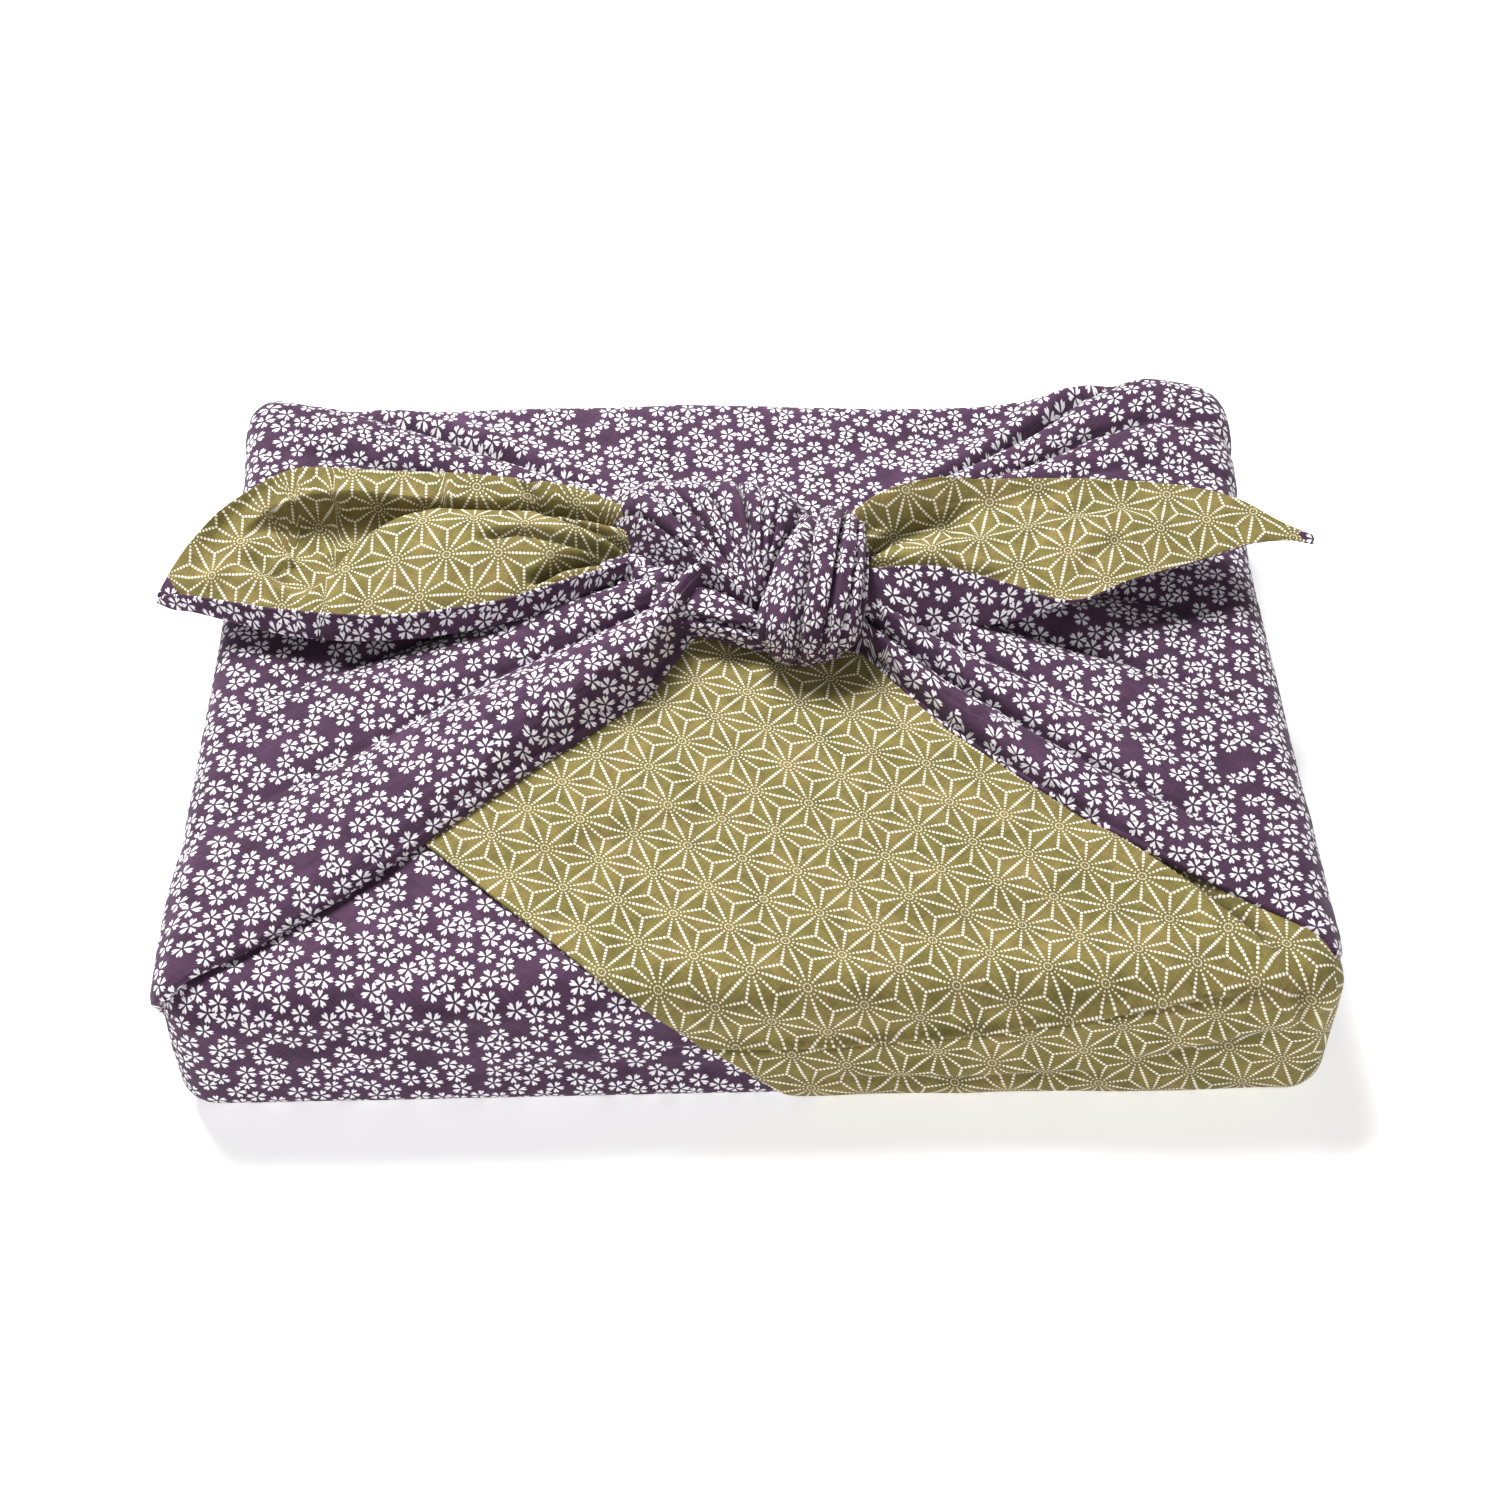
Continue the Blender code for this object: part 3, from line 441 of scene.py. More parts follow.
def soft_offset(p):
    """How far the filled parcel swells or sinks there, past its even rounded block."""
    across, along, up = p[..., 0] / WIDTH * 2, p[..., 1] / DEPTH * 2, (p[..., 2] - HEIGHT / 2) / HEIGHT * 2
    swell = sum(h * np.exp(-(((p[..., 0] - a) / r) ** 2) - ((p[..., 1] - b) / q) ** 2)
                for a, b, r, q, h in SWELLS)
    waist = WAIST * np.sin(WAIST_ACROSS * across + WAIST_ACROSS_START)
    waist = waist * np.cos(WAIST_ALONG * along + WAIST_ALONG_START)
    return swell * np.maximum(up, 0) ** 2 + waist * (1 - up**2)


def rounded(p, lift=0.0):
    """Points of the plain block, moved onto the parcel's soft rounded surface and lifted off it."""
    middle = np.array((0, 0, HEIGHT / 2))
    centred = p - middle
    inner = np.clip(centred, EDGE_RADIUS - HALF, HALF - EDGE_RADIUS)
    out = centred - inner
    out /= np.linalg.norm(out, axis=-1, keepdims=True)
    reach = EDGE_RADIUS + lift + soft_offset(p)
    moved = inner + out * np.asarray(reach)[..., None] + middle
    moved[..., 2] = np.maximum(moved[..., 2], 0)
    return moved


def resampled(rows, count):
    """The rows of a table, read at count even steps of one smooth curve through them."""
    table = np.array(rows, float)
    ends = np.concatenate((2 * table[:1] - table[1:2], table, 2 * table[-1:] - table[-2:-1]))
    found = []
    for place in np.linspace(0, len(table) - 1, count):
        row = min(int(place), len(table) - 2)
        t = place - row
        a, b, c, d = ends[row : row + 4]
        found.append(0.5 * (2 * b + (c - a) * t + (2 * a - 5 * b + 4 * c - d) * t**2
                            + (3 * b - a - 3 * c + d) * t**3))
    return np.array(found)


def edge_arc(size, turn=6):
    """Places round the edge at the far end of one side of the block, from the flat part out."""
    return [size / 2 - EDGE_RADIUS * (1 - math.tan(math.pi / 4 * i / turn)) for i in range(turn + 1)]


def edge_spaced(size, steps):
    """Places along one side of the block: close together round its edges, even between them."""
    arc, inner = edge_arc(size), size / 2 - EDGE_RADIUS
    flat = list(np.linspace(-inner, inner, steps + 1)[1:-1])
    return np.array([-v for v in reversed(arc)] + flat + arc)


def unrolled(place, size):
    """A place along one side of the block, as the length of cloth from its middle."""
    inner = size / 2 - EDGE_RADIUS
    past = np.maximum(np.abs(place) - inner, 0)
    length = np.minimum(np.abs(place), inner) + EDGE_RADIUS * np.arctan(past / EDGE_RADIUS)
    return np.sign(place) * length


def crease_offset(p, creases):
    """How far narrow creases sink or raise the cloth at points of the block, and the shade painted in them.
    """
    total, shade = np.zeros(p.shape[:-1]), np.zeros(p.shape[:-1])
    for depth, width, ridge, side, path in creases:
        path = np.array(path, float)
        lengths = np.linalg.norm(np.diff(path, axis=0), axis=1)
        nearest = np.full(total.shape, 1e9)
        beside, way = np.zeros(total.shape), np.zeros(total.shape)
        for i, (a, b) in enumerate(zip(path[:-1], path[1:])):
            share = np.clip((p - a) @ (b - a) / lengths[i] ** 2, 0, 1)
            gap = p - (a + share[..., None] * (b - a))
            distance = np.linalg.norm(gap, axis=-1)
            closer = distance < nearest
            nearest = np.where(closer, distance, nearest)
            beside = np.where(closer, gap @ np.array(side, float), beside)
            way = np.where(closer, (lengths[:i].sum() + share * lengths[i]) / lengths.sum(), way)
        fade = np.sin(np.pi * np.clip(way, 0, 1)) ** 0.6
        near = np.exp(-((nearest / (5 * width)) ** 2))
        groove = fade * np.exp(-((nearest / width) ** 2))
        raised = fade * ridge * near * np.exp(-(((beside - 2 * width) / (1.8 * width)) ** 2))
        total += raised - depth * groove
        shade = np.maximum(shade, groove * min(1, depth / DARK_BLOCK_CREASE))
    return total, shade


def mark_height(spots, marks):
    """How far creases and ledges over the ground raise or sink the cloth there, and the shade painted in
    them.
    """
    total, shade = np.zeros(spots.shape[:-1]), np.zeros(spots.shape[:-1])
    for depth, width, reach, path in marks:
        path = np.array(path, float)
        lengths = np.linalg.norm(np.diff(path, axis=0), axis=1)
        side, way = np.full(total.shape, 1e9), np.zeros(total.shape)
        for i, (a, b) in enumerate(zip(path[:-1], path[1:])):
            share = np.clip((spots - a) @ (b - a) / lengths[i] ** 2, 0, 1)
            distance = np.linalg.norm(spots - a - share[..., None] * (b - a), axis=-1)
            left = (b - a)[0] * (spots - a)[..., 1] - (b - a)[1] * (spots - a)[..., 0]
            closer = distance < np.abs(side)
            side = np.where(closer, np.where(left > 0, distance, -distance), side)
            way = np.where(closer, (lengths[:i].sum() + share * lengths[i]) / lengths.sum(), way)
        fade = np.clip(6 * way, 0, 1) * np.clip(6 * (1 - way), 0, 1)
        if reach:
            off = np.maximum(side, 0)
            total -= fade * depth * (1 - np.exp(-off / width)) * np.exp(-((off / reach) ** 2))
            # Painted shade at the foot of the ledge
            painted_ledge_shade = fade * np.exp(-(((side - width) / width) ** 2))
            shade = np.maximum(shade, painted_ledge_shade * np.clip(depth / DARK_LEDGE, 0, 1))
        else:
            groove = fade * np.exp(-((side / width) ** 2))
            total -= depth * groove
            shade = np.maximum(shade, groove * np.clip(depth / DARK_EAR_CREASE, 0, 1))
    return total, shade


def rumple(points, scale, seed, stretch=(1, 1, 1)):
    """Even noise from -1 to 1 at each point, at the scale of its features in metres."""
    flat = np.asarray(points, float).reshape(-1, 3) * np.array(stretch) / scale + seed
    values = [noise.noise(Vector(v)) for v in flat]
    return np.array(values).reshape(np.asarray(points).shape[:-1])


def fold_height(folds, share, across):
    """The height of the gathered cloth over its bed: folds rounded on top and sharp between."""
    highest = np.zeros(across.shape)
    for far, near, far_half, near_half, top, start in folds:
        way = max(0.0, (share - start) / (1 - start))
        centre = far + (near - far) * share
        half = FOLD_SLIMMING * (far_half + (near_half - far_half) * share)
        off = np.minimum(1.0, np.abs(across - centre) / half)
        highest = np.maximum(highest, top * way**FOLD_GROWTH * np.sqrt(1 - off**2))
    return highest + WING_CROWN * share**2 * np.sin(math.pi * across)


def normals(grid):
    """The normal of a grid of points at each of them."""
    normal = np.cross(np.gradient(grid, axis=0), np.gradient(grid, axis=1))
    return normal / np.maximum(np.linalg.norm(normal, axis=2, keepdims=True), 1e-12)


def grid_object(name, grid, cloth, shade, outward, thickness, materials):
    """A sheet of that thickness from a grid of points, with cloth coordinates in metres and a painted
    crease shade from 0 to 1 at each point, and with the outer face of the grid to the side outward."""
    rows, columns = grid.shape[:2]
    faces = []
    for i in range(rows - 1):
        for j in range(columns - 1):
            a, b = i * columns + j, (i + 1) * columns + j
            faces.append((a, a + 1, b + 1, b))
    mesh = bpy.data.meshes.new(name)
    mesh.from_pydata(grid.reshape(-1, 3).tolist(), [], faces)
    middle = normals(grid).reshape(-1, 3)
    if (middle @ np.array(outward, float)).mean() > 0:
        mesh.flip_normals()
    layer = mesh.uv_layers.new(name="cloth")
    index = np.zeros(len(mesh.loops), int)
    mesh.loops.foreach_get("vertex_index", index)
    layer.data.foreach_set("uv", cloth.reshape(-1, 2)[index].astype(np.float32).ravel())
    # Painted shade in the creases, kept at each point for the finish
    painted_crease_shade = mesh.attributes.new("painted_crease_shade", "FLOAT", "POINT")
    painted_crease_shade.data.foreach_set("value", np.asarray(shade, np.float32).ravel())
    return sheet_object(name, mesh, thickness, materials)


def sheet_object(name, mesh, thickness, materials):
    """The object of a one-sided mesh, given its thickness inwards and its finishes."""
    for material in materials:
        mesh.materials.append(material)
    mesh.shade_smooth()
    made = bpy.data.objects.new(name, mesh)
    bpy.context.scene.collection.objects.link(made)
    ply = made.modifiers.new("ply", "SOLIDIFY")
    ply.thickness = thickness
    ply.offset = -1
    if len(materials) > 1:
        ply.material_offset = 1
        ply.material_offset_rim = 1
    bpy.context.view_layer.update()
    solid = bpy.data.meshes.new_from_object(made.evaluated_get(bpy.context.evaluated_depsgraph_get()))
    for vertex in solid.vertices:
        vertex.co.z = max(vertex.co.z, 0.0)
    made.modifiers.remove(ply)
    made.data = solid
    bpy.data.meshes.remove(mesh)
    return made


def seated(piece):
    """Puts a finished piece on the parcel's body and hides the plain solid of the cloth."""
    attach(piece, "root")
    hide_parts(SOLID)


def block_mesh(sides, steps):
    """The named sides of the plain block as one fine grid in bmesh, before it is rounded."""
    axes = [edge_spaced(size, count) for size, count in zip((WIDTH, DEPTH, HEIGHT), steps)]
    axes[2] += HEIGHT / 2
    shaper, corners = bmesh.new(), {}

    def corner(index):
        if index not in corners:
            corners[index] = shaper.verts.new([axes[a][index[a]] for a in range(3)])
        return corners[index]

    for axis, end in sides:
        first, second = [a for a in range(3) if a != axis]
        level = (len(axes[axis]) - 1) * (end > 0)
        for i in range(len(axes[first]) - 1):
            for j in range(len(axes[second]) - 1):
                around = []
                for di, dj in ((0, 0), (1, 0), (1, 1), (0, 1)):
                    index = [0, 0, 0]
                    index[axis], index[first], index[second] = level, i + di, j + dj
                    around.append(corner(tuple(index)))
                shaper.faces.new(around)
    bmesh.ops.recalc_face_normals(shaper, faces=shaper.faces)
    return shaper


def cloth_place(point, normal, round_corner=False):
    """Where a point of the block lies on the flat cloth, for the side of the block it is on."""
    x, y, z = point.x, point.y, point.z - HEIGHT / 2
    flat_x, flat_y = float(unrolled(x, WIDTH)), float(unrolled(y, DEPTH))
    down = float(unrolled(HEIGHT / 2, HEIGHT) - unrolled(z, HEIGHT))
    edge_x, edge_y = float(unrolled(WIDTH / 2, WIDTH)), float(unrolled(DEPTH / 2, DEPTH))
    side = max(range(3), key=lambda a: abs(normal[a]))
    if side == 2 and normal.z > 0:
        return flat_x, flat_y
    if side == 2:
        return flat_x, flat_y - 2 * edge_y
    if side == 1:
        return flat_x, math.copysign(edge_y + down, normal.y)
    if round_corner:
        return edge_x + edge_y + flat_y, -edge_y - down
    return math.copysign(edge_x + down, normal.x), flat_y


def block_object(name, shaper, place, thickness, material, stretched=None, round_corner=False):
    """The sheet made of a bmesh on the block: place gives where each point goes and its painted crease
    shade, and stretched moves its places on the flat cloth."""
    layer = shaper.loops.layers.uv.new("cloth")
    # Painted shade in the creases, kept at each point for the finish
    painted_crease_shade = shaper.verts.layers.float.new("painted_crease_shade")
    shaper.normal_update()
    for face in shaper.faces:
        for loop in face.loops:
            spot = Vector(cloth_place(loop.vert.co, face.normal, round_corner))
            loop[layer].uv = stretched(spot) if stretched else spot
    shaper.verts.ensure_lookup_table()
    flat = np.array([v.co for v in shaper.verts])
    for vertex, moved, shade in zip(shaper.verts, *place(flat)):
        vertex.co, vertex[painted_crease_shade] = moved, shade
    mesh = bpy.data.meshes.new(name)
    shaper.to_mesh(mesh)
    shaper.free()
    return sheet_object(name, mesh, thickness, [material])


# Finishes


class Nodes:
    """A node tree that is built one node at a time: each call gives back the new node's output."""

    def __init__(self, tree):
        self.tree = tree

    def add(self, kind, inputs=(), output=0, **values):
        """A node of that kind, its inputs given by place or name, as a link or a value."""
        made = self.tree.nodes.new(kind)
        for name, value in values.items():
            setattr(made, name, value)
        pairs = inputs.items() if isinstance(inputs, dict) else enumerate(inputs)
        for place, value in pairs:
            if isinstance(value, bpy.types.NodeSocket):
                self.tree.links.new(value, made.inputs[place])
            elif value is not None:
                made.inputs[place].default_value = value
        return made.outputs[output]

    def math(self, operation, *values, clamp=False):
        """One step of arithmetic."""
        return self.add("ShaderNodeMath", values, operation=operation, use_clamp=clamp)

    def vector(self, operation, *values):
        """One step of arithmetic with vectors or colours."""
        return self.add("ShaderNodeVectorMath", values, operation=operation)

    def turned(self, vector, angle):
        """A vector turned round Z by an angle."""
        return self.add("ShaderNodeVectorRotate", {"Vector": vector, "Angle": angle}, rotation_type="Z_AXIS")

    def noise(self, vector, scale, detail, roughness=0.5):
        """Even noise from 0 to 1 on the flat cloth."""
        inputs = {"Vector": vector, "Scale": scale, "Detail": detail, "Roughness": roughness}
        return self.add("ShaderNodeTexNoise", inputs, noise_dimensions="2D")

    def parts(self, vector):
        """The X, Y and Z outputs of a vector."""
        made = self.tree.nodes.new("ShaderNodeSeparateXYZ")
        self.tree.links.new(vector, made.inputs[0])
        return made.outputs[0], made.outputs[1], made.outputs[2]

    def ramp(self, value, low, high, to_low=0.0, to_high=1.0, smooth=False):
        """A value that goes from to_low to to_high while the given one goes from low to high."""
        return self.add("ShaderNodeMapRange", (value, low, high, to_low, to_high),
                        interpolation_type="SMOOTHSTEP" if smooth else "LINEAR")

    def mix(self, share, one, other):
        """A colour that goes from one to the other while share goes from 0 to 1."""
        made = self.tree.nodes.new("ShaderNodeMix")
        made.data_type = "RGBA"
        for place, value in ((0, share), (6, one), (7, other)):
            if isinstance(value, bpy.types.NodeSocket):
                self.tree.links.new(value, made.inputs[place])
            else:
                made.inputs[place].default_value = value
        return made.outputs[2]


def node_group(name, inputs, build):
    """A node group whose inputs are the named numbers after one vector, and whose outputs build gives."""
    tree = bpy.data.node_groups.new(name, "ShaderNodeTree")
    tree.interface.new_socket("Vector", in_out="INPUT", socket_type="NodeSocketVector")
    for title in inputs:
        tree.interface.new_socket(title, in_out="INPUT", socket_type="NodeSocketFloat")
    entry = tree.nodes.new("NodeGroupInput")
    outputs = build(Nodes(tree), *list(entry.outputs)[: len(inputs) + 1])
    for title in outputs:
        tree.interface.new_socket(title, in_out="OUTPUT", socket_type="NodeSocketFloat")
    leave = tree.nodes.new("NodeGroupOutput")
    for place, value in enumerate(outputs.values()):
        tree.links.new(value, leave.inputs[place])
    return tree


def dotted_lines(n, vector, angle, spacing, period, shift, reach, pitch, radius):
    """One family of like lines of dots, each line dotted from the middles of its stars."""
    along, across, _ = n.parts(n.turned(vector, angle))
    row = n.math("ROUND", n.math("DIVIDE", across, spacing))
    off = n.math("SUBTRACT", across, n.math("MULTIPLY", row, spacing))
    odd = n.math("FLOORED_MODULO", row, 2.0)
    start = n.math("SUBTRACT", along, n.math("MULTIPLY", odd, shift))
    turns = n.math("ROUND", n.math("DIVIDE", start, period))
    place = n.math("ABSOLUTE", n.math("SUBTRACT", start, n.math("MULTIPLY", turns, period)))
    dot = n.math("MULTIPLY", n.math("ROUND", n.math("DIVIDE", place, pitch)), pitch)
    beside = n.math("SUBTRACT", place, dot)
    distance = n.math("SQRT", n.math("ADD", n.math("POWER", off, 2.0), n.math("POWER", beside, 2.0)))
    grown = n.ramp(n.math("DIVIDE", dot, reach), 0.0, GROWN_AT, SMALLEST_DOT, 1.0, smooth=True)
    size = n.math("MULTIPLY", radius, grown)
    shown = n.math("LESS_THAN", dot, n.math("ADD", reach, n.math("MULTIPLY", pitch, 0.5)))
    inside = n.ramp(n.math("SUBTRACT", size, distance), -DOT_RIM, DOT_RIM)
    return {"Dots": n.math("MULTIPLY", inside, shown)}


def blossom_cell(n, vector, spacing, radius, chance, next_column, next_row):
    """One five petalled blossom, of a grid whose odd rows are shifted by half a step: the blossom
    just before the point, or the next along either way, each moved and turned by chance."""
    x, y, _ = n.parts(vector)
    up = n.math("DIVIDE", y, n.math("MULTIPLY", spacing, ROW_STEP))
    row = n.math("ADD", n.math("FLOOR", n.math("SUBTRACT", up, 0.5)), next_row)
    shift = n.math("MULTIPLY", n.math("FLOORED_MODULO", row, 2.0), 0.5)
    along = n.math("SUBTRACT", n.math("DIVIDE", x, spacing), shift)
    column = n.math("ADD", n.math("FLOOR", n.math("SUBTRACT", along, 0.5)), next_column)
    picks = n.tree.nodes.new("ShaderNodeTexWhiteNoise")
    picks.noise_dimensions = "2D"
    n.tree.links.new(n.add("ShaderNodeCombineXYZ", (column, row, 0.0)), picks.inputs["Vector"])
    pick_x, pick_y, pick_turn = n.parts(picks.outputs["Color"])

    def centred(place, cell, pick, step):
        middle = n.math("ADD", cell, n.ramp(pick, 0.0, 1.0, MIDDLE_FROM, MIDDLE_TO))
        return n.math("MULTIPLY", n.math("MULTIPLY", n.math("SUBTRACT", place, middle), spacing), step)

    dx, dy = centred(along, column, pick_x, 1.0), centred(up, row, pick_y, ROW_STEP)
    grown = n.ramp(picks.outputs["Value"], 0.0, 1.0, SMALLEST_BLOSSOM, LARGEST_BLOSSOM)
    size = n.math("MULTIPLY", radius, grown)
    distance = n.math("SQRT", n.math("ADD", n.math("POWER", dx, 2.0), n.math("POWER", dy, 2.0)))
    far = n.math("DIVIDE", distance, size)
    turns = n.math("ADD", n.math("MULTIPLY", n.math("ARCTAN2", dy, dx), 5 / math.tau), pick_turn)
    petal = n.math("MULTIPLY", n.math("SUBTRACT", turns, n.math("ROUND", turns)), math.tau / 5)
    out = n.math("MULTIPLY", far, n.math("COSINE", petal))
    beside = n.math("ABSOLUTE", n.math("MULTIPLY", far, n.math("SINE", petal)))
    widening = n.math("MULTIPLY", n.math("SUBTRACT", out, PETAL_START), PETAL_SPREAD)
    wedge = n.math("SUBTRACT", widening, beside)
    long_way = n.math("POWER", n.math("DIVIDE", n.math("SUBTRACT", out, OVAL_MIDDLE), OVAL_LENGTH), 2.0)
    short_way = n.math("POWER", n.math("DIVIDE", beside, OVAL_BREADTH), 2.0)
    oval = n.math("MULTIPLY", n.math("SUBTRACT", 1.0, n.math("ADD", long_way, short_way)), OVAL_SHARE)
    notch_end = n.math("ADD", NOTCH_START, n.math("MULTIPLY", beside, NOTCH_SLOPE))
    notch = n.math("MULTIPLY", n.math("SUBTRACT", notch_end, out), NOTCH_SHARE)
    depth = n.math("MINIMUM", n.math("MINIMUM", wedge, oval), notch)
    pick_there = n.math("FRACT", n.math("MULTIPLY", picks.outputs["Value"], 37.0))
    there = n.math("LESS_THAN", pick_there, chance)
    print_share = n.math("MULTIPLY", n.ramp(depth, -PETAL_RIM, PETAL_RIM), there)
    clear = n.math("MULTIPLY", n.ramp(far, 0.94, 1.00, 1.0, 0.0), there)
    return {"Blossoms": print_share, "Near": clear}


def use_group(n, tree, vector, values):
    """The outputs of a group that is given a vector and its numbers."""
    made = n.tree.nodes.new("ShaderNodeGroup")
    made.node_tree = tree
    n.tree.links.new(vector, made.inputs[0])
    for place, value in enumerate(values):
        made.inputs[place + 1].default_value = value
    return made.outputs


def weave(n, vector, cloth):
    """The plain weave: its height, and a light and dark of its threads, both from -1 to 1."""
    turned = n.turned(vector, WEAVE_TURN)
    along, across, _ = n.parts(turned)
    turn = math.pi / cloth.thread_step
    warp = n.math("SINE", n.math("MULTIPLY", along, turn))
    weft = n.math("SINE", n.math("MULTIPLY", across, turn))
    height = n.math("MULTIPLY", warp, weft)
    warp_slubs = n.noise(n.vector("MULTIPLY", turned, (SLUBS_ACROSS, SLUBS_ALONG, 1.0)), 1.0, 1.0)
    weft_slubs = n.noise(n.vector("MULTIPLY", turned, (SLUBS_ALONG, SLUBS_ACROSS, 1.0)), 1.0, 1.0)
    slubs = n.math("SUBTRACT", n.math("ADD", warp_slubs, weft_slubs), 1.0)
    return height, slubs


def cloth_finish(name, colour_of, context):
    """A matt cotton whose colour comes from colour_of, with weave, slubs and a soft mottle, and with
    shade painted on the weave's relief and into its creases.
    """
    cloth = settings(context).cloth
    material = bpy.data.materials.new(name)
    material.use_nodes = True
    tree = material.node_tree
    n = Nodes(tree)
    shader = tree.nodes["Principled BSDF"]
    place = n.add("ShaderNodeUVMap", uv_map="cloth")
    height, slubs = weave(n, place, cloth)
    mottle = n.math("SUBTRACT", n.noise(place, 160.0, 3.0, 0.6), 0.5)
    ground, printed, share = colour_of(n, place)
    # Slubs and mottle vary the tone; the thread term is painted shade, lighter on the weave's crowns
    shade = n.math("ADD", n.math("MULTIPLY", slubs, SLUB_SHADE), n.math("MULTIPLY", mottle, MOTTLE_SHADE))
    shade = n.math("ADD", shade, n.math("MULTIPLY", height, PAINTED_THREAD_SHADE))
    dyed = n.vector("SCALE", ground, None, None, n.math("ADD", 1.0, shade))
    print_shade = n.math("ADD", 1.0, n.math("MULTIPLY", shade, PRINT_SHADE))
    white = n.vector("SCALE", printed, None, None, print_shade)
    # Painted shade: the crease attribute darkens the colour in creases, valleys, grooves and at the pinch
    painted_crease_shade = n.add("ShaderNodeAttribute", output=2, attribute_name="painted_crease_shade")
    painted_shade_factor = n.math("SUBTRACT", 1.0, n.math("MULTIPLY", painted_crease_shade, cloth.painted_crease_strength), clamp=True)
    colour = n.vector("SCALE", n.mix(share, dyed, white), None, None, painted_shade_factor)
    tree.links.new(colour, shader.inputs["Base Color"])
    shader.inputs["Roughness"].default_value = cloth.roughness
    shader.inputs["Sheen Weight"].default_value = 0.06
    shader.inputs["Sheen Roughness"].default_value = 0.45
    shader.inputs["Specular IOR Level"].default_value = 0.20
    relief = n.math("ADD", height, n.math("MULTIPLY", slubs, SLUB_RELIEF))
    bump = n.add("ShaderNodeBump", {"Strength": 0.6, "Distance": cloth.thread_depth, "Height": relief})
    tree.links.new(bump, shader.inputs["Normal"])
    return material


def blossom_finish(context):
    """Purple cotton with small white cherry blossoms, close together and turned every way."""
    if "blossom_cotton" in bpy.data.materials:
        return bpy.data.materials["blossom_cotton"]
    look = settings(context).blossom
    cell = node_group("blossoms", ("Spacing", "Radius", "Chance", "Next column", "Next row"), blossom_cell)

    def colour_of(n, place):
        turned = n.turned(place, BLOSSOM_TURN)
        shown = None
        for row in (0, 1):
            for column in (0, 1):
                values = (look.spacing, look.radius, BLOSSOM_CHANCE, column, row)
                printed, near = use_group(n, cell, turned, values)
                if shown is None:
                    shown = printed
                else:
                    left = n.math("MULTIPLY", shown, n.math("SUBTRACT", 1.0, near))
                    shown = n.math("MAXIMUM", printed, left)
        patches = n.noise(place, 55.0, 2.0)
        light = [min(1.0, v * 1.45) for v in look.ground] + [1.0]
        ground = n.mix(n.ramp(patches, 0.42, 0.72, 0.0, 0.55), (*look.ground, 1.0), light)
        return ground, (*look.print_colour,), shown

    return cloth_finish("blossom_cotton", colour_of, context)


def hemp_leaf_finish(context):
    """Olive cotton with a lattice of six pointed stars in rows of cream dots."""
    if "hemp_leaf_cotton" in bpy.data.materials:
        return bpy.data.materials["hemp_leaf_cotton"]
    look = settings(context).hemp_leaf
    names = ("Angle", "Spacing", "Period", "Shift", "Reach", "Pitch", "Radius")
    lines = node_group("dotted_lines", names, dotted_lines)
    step, dots = look.star_step, look.dots
    tall, long = step * math.sqrt(3), step / math.sqrt(3)

    def colour_of(n, place):
        shown = None
        for angle in LATTICE_ANGLES:
            edge = (math.radians(-angle), tall / 2, step, step / 2, step / 2, step / dots, look.dot_radius)
            spoke = (math.radians(-angle - 90), step / 2, tall, tall / 2,
                     long, long / round(dots * SPOKE_DOTS), look.dot_radius * SPOKE_SIZE)
            for values in (edge, spoke):
                line = use_group(n, lines, place, values)[0]
                shown = line if shown is None else n.math("MAXIMUM", shown, line)
        patches = n.noise(place, 70.0, 2.0)
        red, green, blue = look.ground
        ground = n.mix(n.ramp(patches, 0.35, 0.70), (red * 0.86, green * 0.90, blue * 0.82, 1.0),
                       (red * 1.12, green * 1.08, blue * 1.15, 1.0))
        return ground, (*look.print_colour,), shown

    return cloth_finish("hemp_leaf_cotton", colour_of, context)


# Pieces


class OBJECT_OT_furoshiki_parcel(bpy.types.Operator):
    """Lays the outer face of the cloth round the parcel"""

    bl_idname = "furoshiki.parcel"
    bl_label = "Parcel Cloth"

    def execute(self, context):
        cloth = settings(context).cloth
        shaper = block_mesh([(axis, end) for axis in range(3) for end in (-1, 1)], PARCEL_STEPS)

        def place(flat):
            top = np.clip(flat[:, 2] / HEIGHT * 3, 0, 1)
            sunk, shade = crease_offset(flat, BODY_CREASES + FACING_CREASES)
            lift = sunk + top * cloth.wrinkles * (rumple(flat, 0.030, 3.1) + 0.4 * rumple(flat, 0.011, 7.7))
            moved = rounded(flat, lift)
            moved[:, 2] = np.maximum(moved[:, 2], 0.0004)
            return moved, shade

        piece = block_object("parcel_cloth", shaper, place, cloth.thickness, blossom_finish(context))
        seated(piece)
        return {"FINISHED"}


